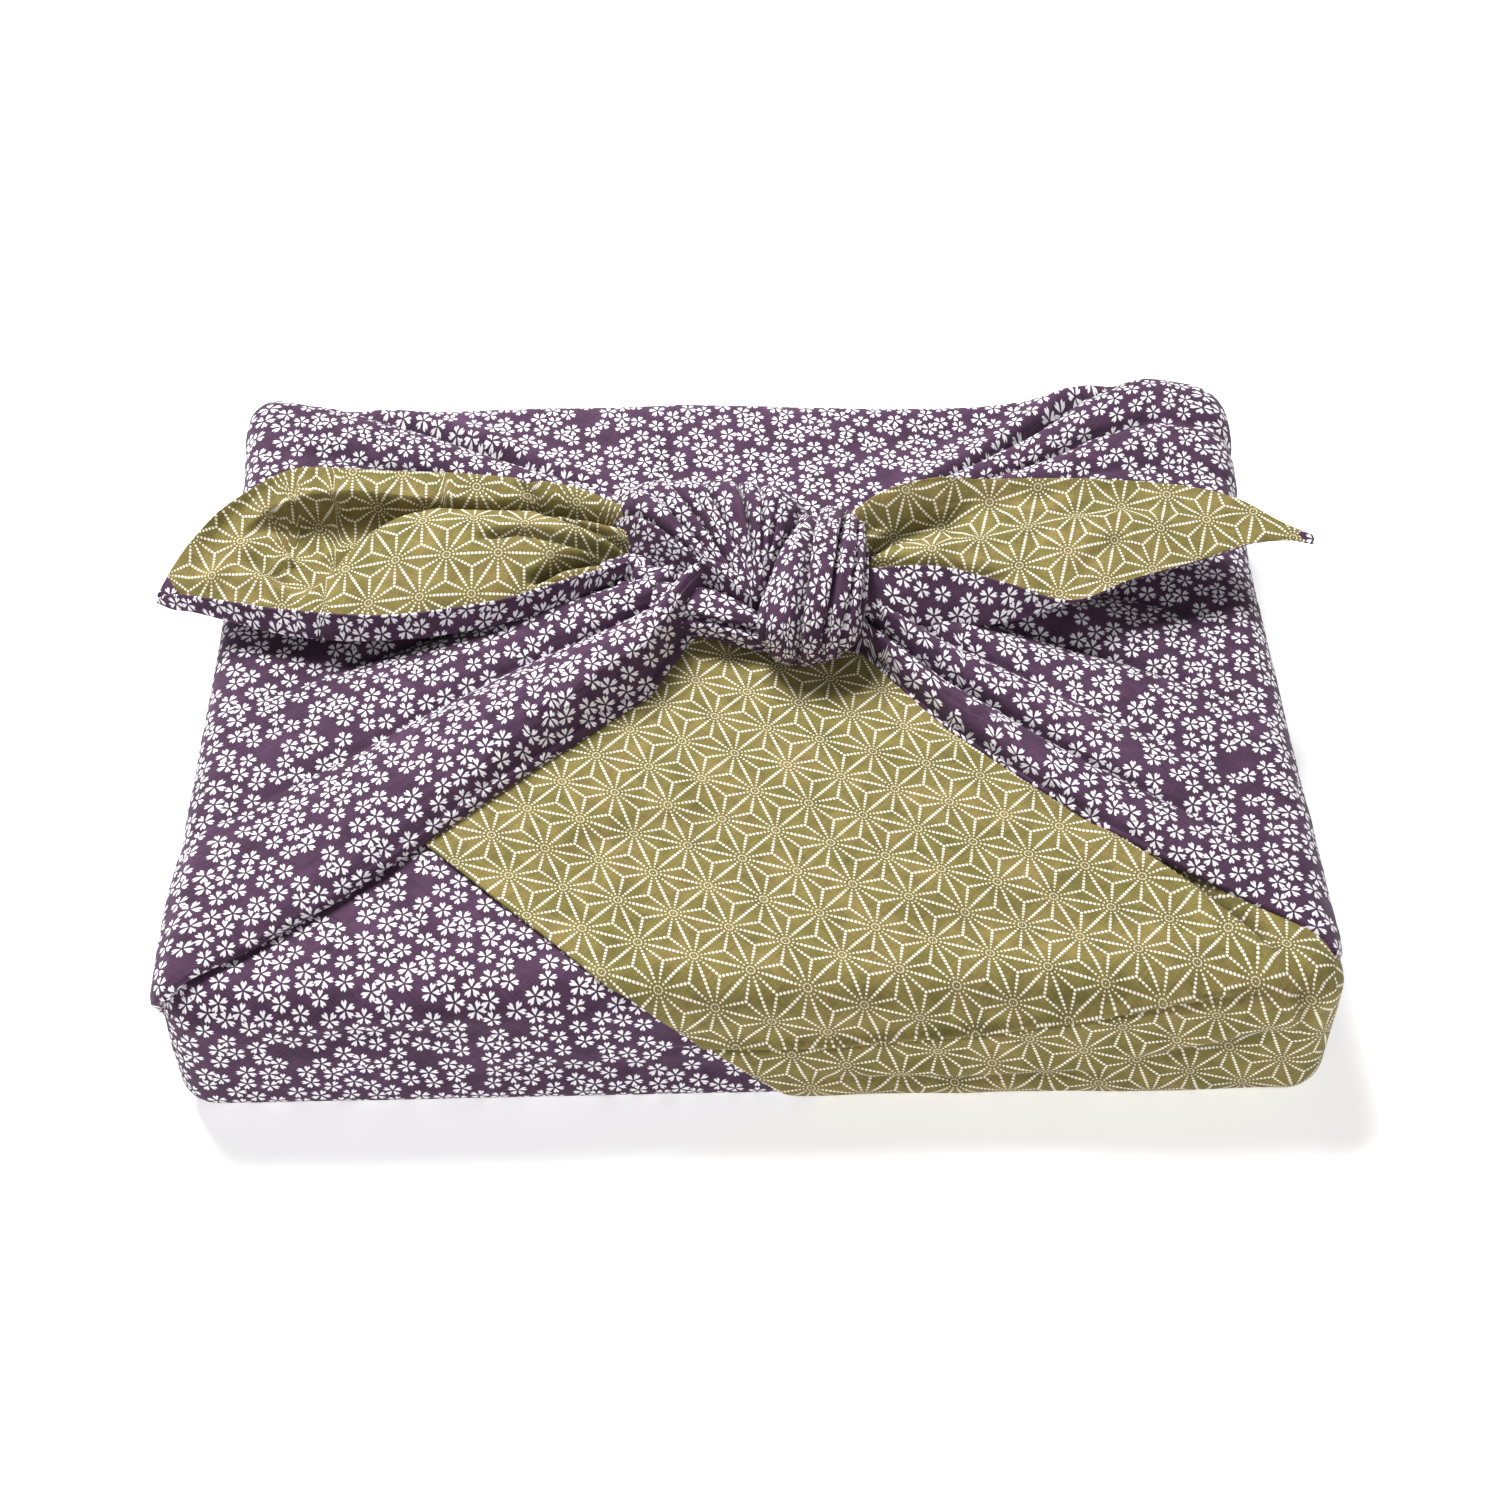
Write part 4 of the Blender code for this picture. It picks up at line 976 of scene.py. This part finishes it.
class OBJECT_OT_furoshiki_facing(bpy.types.Operator):
    """Turns the front corner of the cloth back over the parcel, its hem at 45 degrees"""

    bl_idname = "furoshiki.facing"
    bl_label = "Turned Back Corner"

    def execute(self, context):
        cloth = settings(context).cloth
        shaper = block_mesh([(2, 1), (1, -1), (0, 1), (2, -1)], FACING_STEPS)
        front = DEPTH / 2
        cuts = (
            (Vector((HEM_SUM, 0, HEIGHT)), Vector((1, 1, 0)), lambda n: n.z > 0.5),
            (Vector((HEM_SUM + front, 0, HEIGHT)), Vector((1, 0, 1)), lambda n: n.y < -0.5),
            (Vector((HEM_SUM + front + HEIGHT, -front, 0)), Vector((1, -1, 0)), lambda n: n.z < -0.5),
            (Vector((0, LIP - front, 0)), Vector((0, -1, 0)), lambda n: n.z < -0.5),
            (Vector((0, FACING_BACK_Y, 0)), Vector((0, -1, 0)), lambda n: True),
        )
        for spot, normal, wanted in cuts:
            faces = [f for f in shaper.faces if wanted(f.normal)]
            edges = list({e for f in faces for e in f.edges})
            corners = list({v for f in faces for v in f.verts})
            cut = faces + edges + corners
            bmesh.ops.bisect_plane(shaper, geom=cut, plane_co=spot, plane_no=normal, dist=1e-6)
            outside = [f for f in shaper.faces
                       if wanted(f.normal) and (f.calc_center_median() - spot).dot(normal) < 0]
            bmesh.ops.delete(shaper, geom=outside, context="FACES")
        star = settings(context).hemp_leaf.star_step
        angles = [math.radians(angle) for angle in STAR_ANGLES]
        even = star * np.array([[math.cos(angle), math.sin(angle)] for angle in angles]).T
        bias = even @ np.linalg.inv(np.array(STAR_STEPS).T)

        def stretched(spot):
            return Vector(bias @ np.array(spot - Vector(STAR)))

        def place(flat):
            sunk, shade = crease_offset(flat, FACING_CREASES)
            lift = PLY + sunk + cloth.wrinkles * (rumple(flat, 0.034, 12.3) + 0.4 * rumple(flat, 0.012, 5.2))
            return rounded(flat, lift), shade

        finish = hemp_leaf_finish(context)
        piece = block_object("front_corner", shaper, place, cloth.thickness, finish, stretched, True)
        seated(piece)
        return {"FINISHED"}


def wing_sheet(name, side, outline, folds, cloth, material):
    """One side corner of the cloth: up the side face, over the edge and in folds to the knot."""
    arc = edge_arc(WIDTH)
    spots = [(x, 0.0) for x in arc[:-1]]
    spots += [(WIDTH / 2, z) for z in edge_spaced(HEIGHT, WING_SIDE_STEPS) + HEIGHT / 2]
    spots += [(x, HEIGHT) for x in arc[-2::-1]]
    spots += [(x, HEIGHT) for x in np.linspace(arc[0], WING_END, WING_TOP_STEPS)[1:]]
    table = np.array(outline)[::-1]
    even = np.linspace(0, 1, WING_COLUMNS)
    across = even + WING_CROWDING * (0.5 - 0.5 * np.cos(math.pi * even) - even)
    turn = np.linspace(math.pi, 0, HEM_TURN_STEPS + 1)[:-1]
    points, cloth_points, painted_shades = [], [], []
    run, before = 0.0, None
    for x, z in spots:
        share = max(0.0, 1 - (x - WING_END) / (WIDTH / 2 - WING_END)) if z > 0 else 0.0
        front = np.interp(x, table[:, 0], table[:, 1]) + WING_DRAWN_BACK * min(1.0, 2 - 2 * z / HEIGHT)
        back = np.interp(x, table[:, 0], table[:, 2])
        fold = fold_height(folds, share, across)
        fine = np.array([noise.noise(Vector((a * 22, share * 5 + z * 20, side * 4.0))) for a in across])
        fine += 0.5 * np.array([noise.noise(Vector((a * 60, share * 9, side * 9.0))) for a in across])
        lift = WING_RISE + fold + cloth.wrinkles * (0.5 + share) * fine
        fade = min(1.0, z / HEIGHT) ** 1.5
        lift = WING_BED + (lift - WING_BED) * fade
        ends = (lift[0] / 2, lift[-1] / 2)
        places = front + ends[0] + (back - front - ends[0] - ends[1]) * across
        spot = np.stack((np.full(places.shape, side * x), places, np.full(places.shape, z)), -1)
        top = rounded(spot, lift)
        bed = rounded(spot, 0.0)
        edge = np.minimum(1.0, across / 0.10)
        top[:, 1] -= LEAN * fold * share * (1 - share**8) * (1 - across) ** 2 * edge
        rolls = []
        for end, away in ((0, -1), (-1, 1)):
            middle = (top[end] + bed[end]) / 2
            up = (top[end] - bed[end]) / 2
            out = np.array((0, away, 0)) * np.linalg.norm(up)
            curl = [middle + up * math.cos(t) + out * math.sin(t) for t in turn]
            tuck = [bed[end] - np.array((0, away, 0)) * d for d in WING_TUCKS]
            rolls.append(tuck + curl)
        row = np.array(rolls[0] + list(top) + rolls[1][::-1])
        row[:, 2] = np.maximum(row[:, 2], 0)
        middle = len(row) // 2
        steps = np.concatenate(([0], np.cumsum(np.linalg.norm(np.diff(row, axis=0), axis=1))))
        if before is not None:
            run += np.linalg.norm(bed[len(bed) // 2] - before)
        before = bed[len(bed) // 2]
        cloth_points.append([(side * run, row[middle, 1] + s - steps[middle]) for s in steps])
        points.append(row)
        # Painted shade in the valleys between folds, growing toward the knot
        painted_valley_shade = min(1, 2.5 * share) * np.clip(1 - fold / VALLEY_TOP, 0, 1) ** 1.5
        painted_shades.append([0] * len(rolls[0]) + list(painted_valley_shade) + [0] * len(rolls[1]))
    grid, places = np.array(points), np.array(cloth_points)
    return grid_object(name, grid, places, painted_shades, (0, 0, 1), cloth.thickness, [material])


class OBJECT_OT_furoshiki_wings(bpy.types.Operator):
    """Brings both side corners of the cloth up over the top to the knot"""

    bl_idname = "furoshiki.wings"
    bl_label = "Side Corners"

    def execute(self, context):
        cloth = settings(context).cloth
        finish = blossom_finish(context)
        left = wing_sheet("left_wing", -1, LEFT_OUTLINE, LEFT_FOLDS, cloth, finish)
        right = wing_sheet("right_wing", 1, RIGHT_OUTLINE, RIGHT_FOLDS, cloth, finish)
        for piece in (left, right):
            seated(piece)
        return {"FINISHED"}


def fan_sheet(cloth, material):
    """The broad strand of the knot, gathered in pleats that spread from the pinch."""
    profile = resampled(FAN_PROFILE, 60)
    points, painted_shades = [], []
    for way, (angle, length, crest) in zip(np.linspace(0, 1, FAN_RAYS), resampled(FAN, FAN_RAYS)):
        turn = math.radians(angle)
        side = min(1.0, min(way, 1 - way) / FAN_EDGE)
        body = math.sqrt(1 - (1 - side) ** 2)
        row = []
        for share in np.linspace(0, 1, FAN_RINGS):
            bend = way + 0.03 * math.sin(3.0 * share + 6 * way)
            sink = 0.0
            for centre, depth, half, start, end in FAN_VALLEYS:
                middle, reach = (start + end) / 2, (end - start) / 2
                shown = max(0.0, 1 - ((share - middle) / reach) ** 2)
                sink += depth * shown * math.exp(-abs(bend - centre) / half)
            puff = math.sin(math.pi * share) * noise.noise(Vector((way * 7, share * 3, 2.5)))
            puff += 0.4 * math.sin(math.pi * share) * noise.noise(Vector((way * 26, share * 5, 8.5)))
            rise = np.interp(share, profile[:, 0], profile[:, 1])
            base = PINCH[2] + (FAN_FOOT - PINCH[2]) * share
            top = base + (crest - base) * rise + FAN_PUFF * puff - sink
            reach = PINCH_RADIUS + (length - PINCH_RADIUS) * share
            row.append((PINCH[0] + math.cos(turn) * reach, PINCH[1] + math.sin(turn) * reach,
                        FAN_FOOT + (top - FAN_FOOT) * body))
            # Painted shade in the valleys and at the pinch
            painted_shades.append(min(1.0, sink / DARK_VALLEY) ** 2 + max(0.0, 1 - share / PAINTED_PINCH_SHADE))
        points.append(row)
    grid = np.array(points)
    steps = np.linalg.norm(np.diff(grid, axis=1), axis=2)
    run = np.concatenate((np.zeros((FAN_RAYS, 1)), np.cumsum(steps, axis=1)), axis=1)
    spread = np.linalg.norm(np.diff(grid[:, FLAT_RING], axis=0), axis=1) / run[1:, FLAT_RING]
    turns = math.radians(FAN[0][0]) + np.concatenate(([0], np.cumsum(spread)))[:, None]
    places = np.stack((run * np.cos(turns), run * np.sin(turns)), -1)
    shade = np.clip(painted_shades, 0, 1)
    return grid_object("knot_broad_strand", grid, places, shade, (0, 0, 1), cloth.thickness, [material])


def arc_places(grid, ring):
    """Cloth coordinates of a grid: lengths along its rows, and along the column ring across them."""
    along = np.linalg.norm(np.diff(grid, axis=1), axis=2)
    run = np.concatenate((np.zeros((len(grid), 1)), np.cumsum(along, axis=1)), axis=1)
    run -= run[:, ring : ring + 1]
    across = np.linalg.norm(np.diff(grid[:, ring], axis=0), axis=1)
    place = np.concatenate(([0], np.cumsum(across)))
    return np.stack((np.repeat(place[:, None], grid.shape[1], 1), run), -1)


def strand_sheet(name, rows, pleats, cloth, material):
    """A narrow strand of the knot along a table of centres, pleated along its length."""
    steps, around = STRAND_STEPS, STRAND_COLUMNS
    count, depth, seed = pleats
    table = resampled(rows, steps)
    centres = table[:, :3]
    heading = np.gradient(centres, axis=0)
    heading /= np.linalg.norm(heading, axis=1, keepdims=True)
    points, painted_shades = [], []
    for i, row in enumerate(table):
        painted_shades.append([])
        flat = np.array((1.0, 0, 0)) if abs(heading[i][0]) < 0.7 else np.array((0, -1.0, 0))
        across = flat - heading[i] * (heading[i] @ flat)
        across /= np.linalg.norm(across)
        out = np.cross(across, heading[i])
        ring = []
        for j in range(around + 1):
            angle = -math.pi / 2 + math.tau * j / around
            beside, up = math.cos(angle), math.sin(angle)
            wave = count * (angle + 0.25 * math.sin(2 * angle + i / steps * 2) + seed)
            deep = 0.8 + 0.8 * noise.noise(Vector((beside * 2, up * 2, i / steps * 2 - seed)))
            groove = max(0.0, 1 - abs(math.sin(wave / 2)) / GROOVE_BREADTH)
            # Painted shade in the grooves between pleats
            painted_shades[-1].append(groove**1.5 * min(1.0, deep))
            pleat = 1 - depth * deep * groove
            pleat += STRAND_UNEVEN * noise.noise(Vector((beside * 3, up * 3, i / steps * 3 + seed)))
            ring.append(centres[i] + across * (row[3] * pleat * beside) + out * (row[4] * pleat * up))
        points.append(ring)
    grid, shade = np.array(points).transpose(1, 0, 2), np.array(painted_shades).T
    outward = (grid - centres[None]).reshape(-1, 3)
    facing = (normals(grid).reshape(-1, 3) * outward).sum(1).mean()
    if facing > 0:
        grid, shade = grid[::-1], shade[::-1]
    places = arc_places(grid, steps // 2) * STRAND_SQUEEZE
    return grid_object(name, grid, places, shade, (0, 0, 0), cloth.thickness, [material])


class OBJECT_OT_furoshiki_knot(bpy.types.Operator):
    """Ties the strands of the square knot"""

    bl_idname = "furoshiki.knot"
    bl_label = "Knot"

    def execute(self, context):
        cloth = settings(context).cloth
        finish = blossom_finish(context)
        broad = fan_sheet(cloth, finish)
        narrow = strand_sheet("knot_narrow_strand", BULB, BULB_PLEATS, cloth, finish)
        under = strand_sheet("knot_under_strand", UNDER, UNDER_PLEATS, cloth, finish)
        seated(broad)
        seated(narrow)
        seated(under)
        return {"FINISHED"}


def ear_sheet(name, rows, marks, lowest, turn, root, cloth, materials):
    """One free corner of the cloth, folded along its length, from the knot to its tip, whose marks
    sink it to the lowest height at most."""
    steps, columns = EAR_STEPS, EAR_COLUMNS
    sections = resampled(rows, steps)
    sheet = np.array([[(row[0], y, z) for y, z in resampled(np.array(row[1:]).reshape(-1, 2), columns)]
                      for row in sections])
    normal = normals(sheet)
    if normal[:, :, 2].mean() < 0:
        normal = -normal
    for _ in range(8):
        near = np.pad(normal, ((0, 0), (1, 1), (0, 0)), mode="edge")
        normal = near[:, :-2] + near[:, 1:-1] + near[:, 2:]
        normal /= np.linalg.norm(normal, axis=2, keepdims=True)
    gather = np.exp(-np.abs(sections[:, 0] - root) / GATHER_REACH)[:, None]
    across = np.linspace(0, 1, columns)[None, :] + 0.02 * np.sin(sections[:, :1] * 90)
    pleats = np.abs(np.sin(math.pi * GATHERS * across)) ** 0.7 - 0.6
    rough = rumple(sheet, 0.016, 4.4 + turn, (0.6, 1.4, 1.0))
    breadth = np.linalg.norm(np.gradient(sheet, axis=1), axis=2).sum(1)
    narrow = np.clip(breadth / FULL_SECTION, 0, 1)[:, None]
    lift = (GATHER_HEIGHT * gather * pleats + cloth.wrinkles * rough) * narrow
    sheet = sheet + normal * lift[..., None]
    # The marks sink the cloth, and shade is painted into the creases and at the feet of the ledges
    height, shade = mark_height(sheet[..., :2], marks)
    marked = sheet[..., 2] + height
    sheet[..., 2] = np.maximum(marked, np.minimum(sheet[..., 2], lowest))
    along = np.linalg.norm(np.diff(sheet[:, columns // 2], axis=0), axis=1)
    run = np.concatenate(([0], np.cumsum(along)))
    lengths = np.linalg.norm(np.diff(sheet, axis=1), axis=2)
    over = np.concatenate((np.zeros((steps, 1)), np.cumsum(lengths, axis=1)), axis=1)
    over = over - over[:, columns // 2 : columns // 2 + 1] - sheet[:, columns // 2, 1][:, None]
    cloth_x = np.repeat((run * math.copysign(1, sections[-1, 0]))[:, None], columns, 1)
    spin = np.array(((math.cos(turn), -math.sin(turn)), (math.sin(turn), math.cos(turn))))
    places = np.stack((cloth_x, -over), -1) @ spin.T
    ear = grid_object(name, sheet, places, shade, (0, 0, 1), cloth.thickness, materials)
    for face in ear.data.polygons:
        if abs(face.center.x) > TURNED_TIP + TIP_SLANT * abs(face.center.y - sections[-1, 1]):
            face.material_index = 1
    return ear


class OBJECT_OT_furoshiki_ears(bpy.types.Operator):
    """Opens the two free corners on both sides of the knot"""

    bl_idname = "furoshiki.ears"
    bl_label = "Free Corners"

    def execute(self, context):
        cloth = settings(context).cloth
        faces = [hemp_leaf_finish(context), blossom_finish(context)]
        left = ear_sheet("left_ear", LEFT_EAR, LEFT_MARKS, LEFT_LOWEST, LEFT_TURN, -EAR_ROOT, cloth, faces)
        right = ear_sheet("right_ear", RIGHT_EAR, RIGHT_MARKS, RIGHT_LOWEST, RIGHT_TURN, EAR_ROOT, cloth,
                          faces)
        seated(left)
        seated(right)
        return {"FINISHED"}


class OBJECT_OT_furoshiki_studio(bpy.types.Operator):
    """Sets up the floor, the soft light and the camera"""

    bl_idname = "furoshiki.studio"
    bl_label = "Studio"

    def execute(self, context):
        studio = settings(context).studio
        scene = context.scene
        mesh = bpy.data.meshes.new("floor")
        corners = [(FLOOR_HALF * x, FLOOR_HALF * y, 0) for x, y in ((-1, -1), (1, -1), (1, 1), (-1, 1))]
        mesh.from_pydata(corners, [], [(0, 1, 2, 3)])
        finish = bpy.data.materials.new("floor")
        finish.use_nodes = True
        shader = finish.node_tree.nodes["Principled BSDF"]
        shader.inputs["Base Color"].default_value = (*studio.floor_colour, 1.0)
        shader.inputs["Emission Color"].default_value = (1.0, 1.0, 1.0, 1.0)
        shader.inputs["Emission Strength"].default_value = studio.glow
        shader.inputs["Roughness"].default_value = 0.9
        shader.inputs["Specular IOR Level"].default_value = 0.2
        mesh.materials.append(finish)
        floor = bpy.data.objects.new("floor", mesh)
        scene.collection.objects.link(floor)
        world = bpy.data.worlds.new("studio")
        world.use_nodes = True
        sky = world.node_tree.nodes["Background"]
        sky.inputs["Color"].default_value = (1.0, 1.0, 1.0, 1.0)
        n = Nodes(world.node_tree)
        _, _, up = n.parts(n.add("ShaderNodeTexCoord"))
        haze = n.ramp(up, 0.0, SKY_TOP, studio.glow + studio.sky, studio.sky)
        world.node_tree.links.new(haze, sky.inputs["Strength"])
        scene.world = world
        lamps = (("key_light", KEY_LIGHT, studio.key), ("fill_light", FILL_LIGHT, studio.fill))
        for name, (spot, size), power in lamps:
            lamp = bpy.data.lights.new(name, "AREA")
            lamp.energy, lamp.size = power, size
            light = bpy.data.objects.new(name, lamp)
            light.location = spot
            heading = Vector(LIT_SPOT) - light.location
            light.rotation_euler = heading.to_track_quat("-Z", "Y").to_euler()
            scene.collection.objects.link(light)
        lens = bpy.data.cameras.new("camera")
        lens.sensor_width, lens.lens = 36.0, CAMERA_LENS
        camera = bpy.data.objects.new("camera", lens)
        camera.location = CAMERA_AT
        camera.rotation_euler = Vector(CAMERA_HEADING).to_track_quat("-Z", "Y").to_euler()
        scene.collection.objects.link(camera)
        scene.camera = camera
        scene.view_settings.view_transform = "Standard"
        return {"FINISHED"}


class WrapSettings(bpy.types.PropertyGroup):
    """Everything that a user would change"""

    cloth: PointerProperty(type=ClothSettings)
    blossom: PointerProperty(type=BlossomSettings)
    hemp_leaf: PointerProperty(type=HempLeafSettings)
    studio: PointerProperty(type=StudioSettings)


class VIEW3D_PT_furoshiki(bpy.types.Panel):
    """Lists the settings and the steps in the sidebar"""

    bl_label = "Furoshiki Wrap"
    bl_space_type = "VIEW_3D"
    bl_region_type = "UI"
    bl_category = "Furoshiki"

    def draw(self, context):
        layout = self.layout
        for group in ("cloth", "blossom", "hemp_leaf", "studio"):
            box = layout.box()
            box.label(text=group.replace("_", " ").capitalize())
            held = getattr(settings(context), group)
            for name in held.__annotations__:
                box.prop(held, name)
        for operator in STEPS:
            layout.operator(operator.bl_idname)


STEPS = (
    OBJECT_OT_furoshiki_parcel,
    OBJECT_OT_furoshiki_facing,
    OBJECT_OT_furoshiki_wings,
    OBJECT_OT_furoshiki_knot,
    OBJECT_OT_furoshiki_ears,
    OBJECT_OT_furoshiki_studio,
)
GROUPS = (ClothSettings, BlossomSettings, HempLeafSettings, StudioSettings, WrapSettings)
CLASSES = (*GROUPS, *STEPS, VIEW3D_PT_furoshiki)


def register():
    for made in CLASSES:
        bpy.utils.register_class(made)
    bpy.types.Scene.furoshiki_wrap = PointerProperty(type=WrapSettings)


def unregister():
    del bpy.types.Scene.furoshiki_wrap
    for made in reversed(CLASSES):
        bpy.utils.unregister_class(made)


def main():
    register()
    bpy.ops.furoshiki.parcel()
    bpy.ops.furoshiki.facing()
    bpy.ops.furoshiki.wings()
    bpy.ops.furoshiki.knot()
    bpy.ops.furoshiki.ears()
    bpy.ops.furoshiki.studio()


if __name__ == "__main__":
    main()
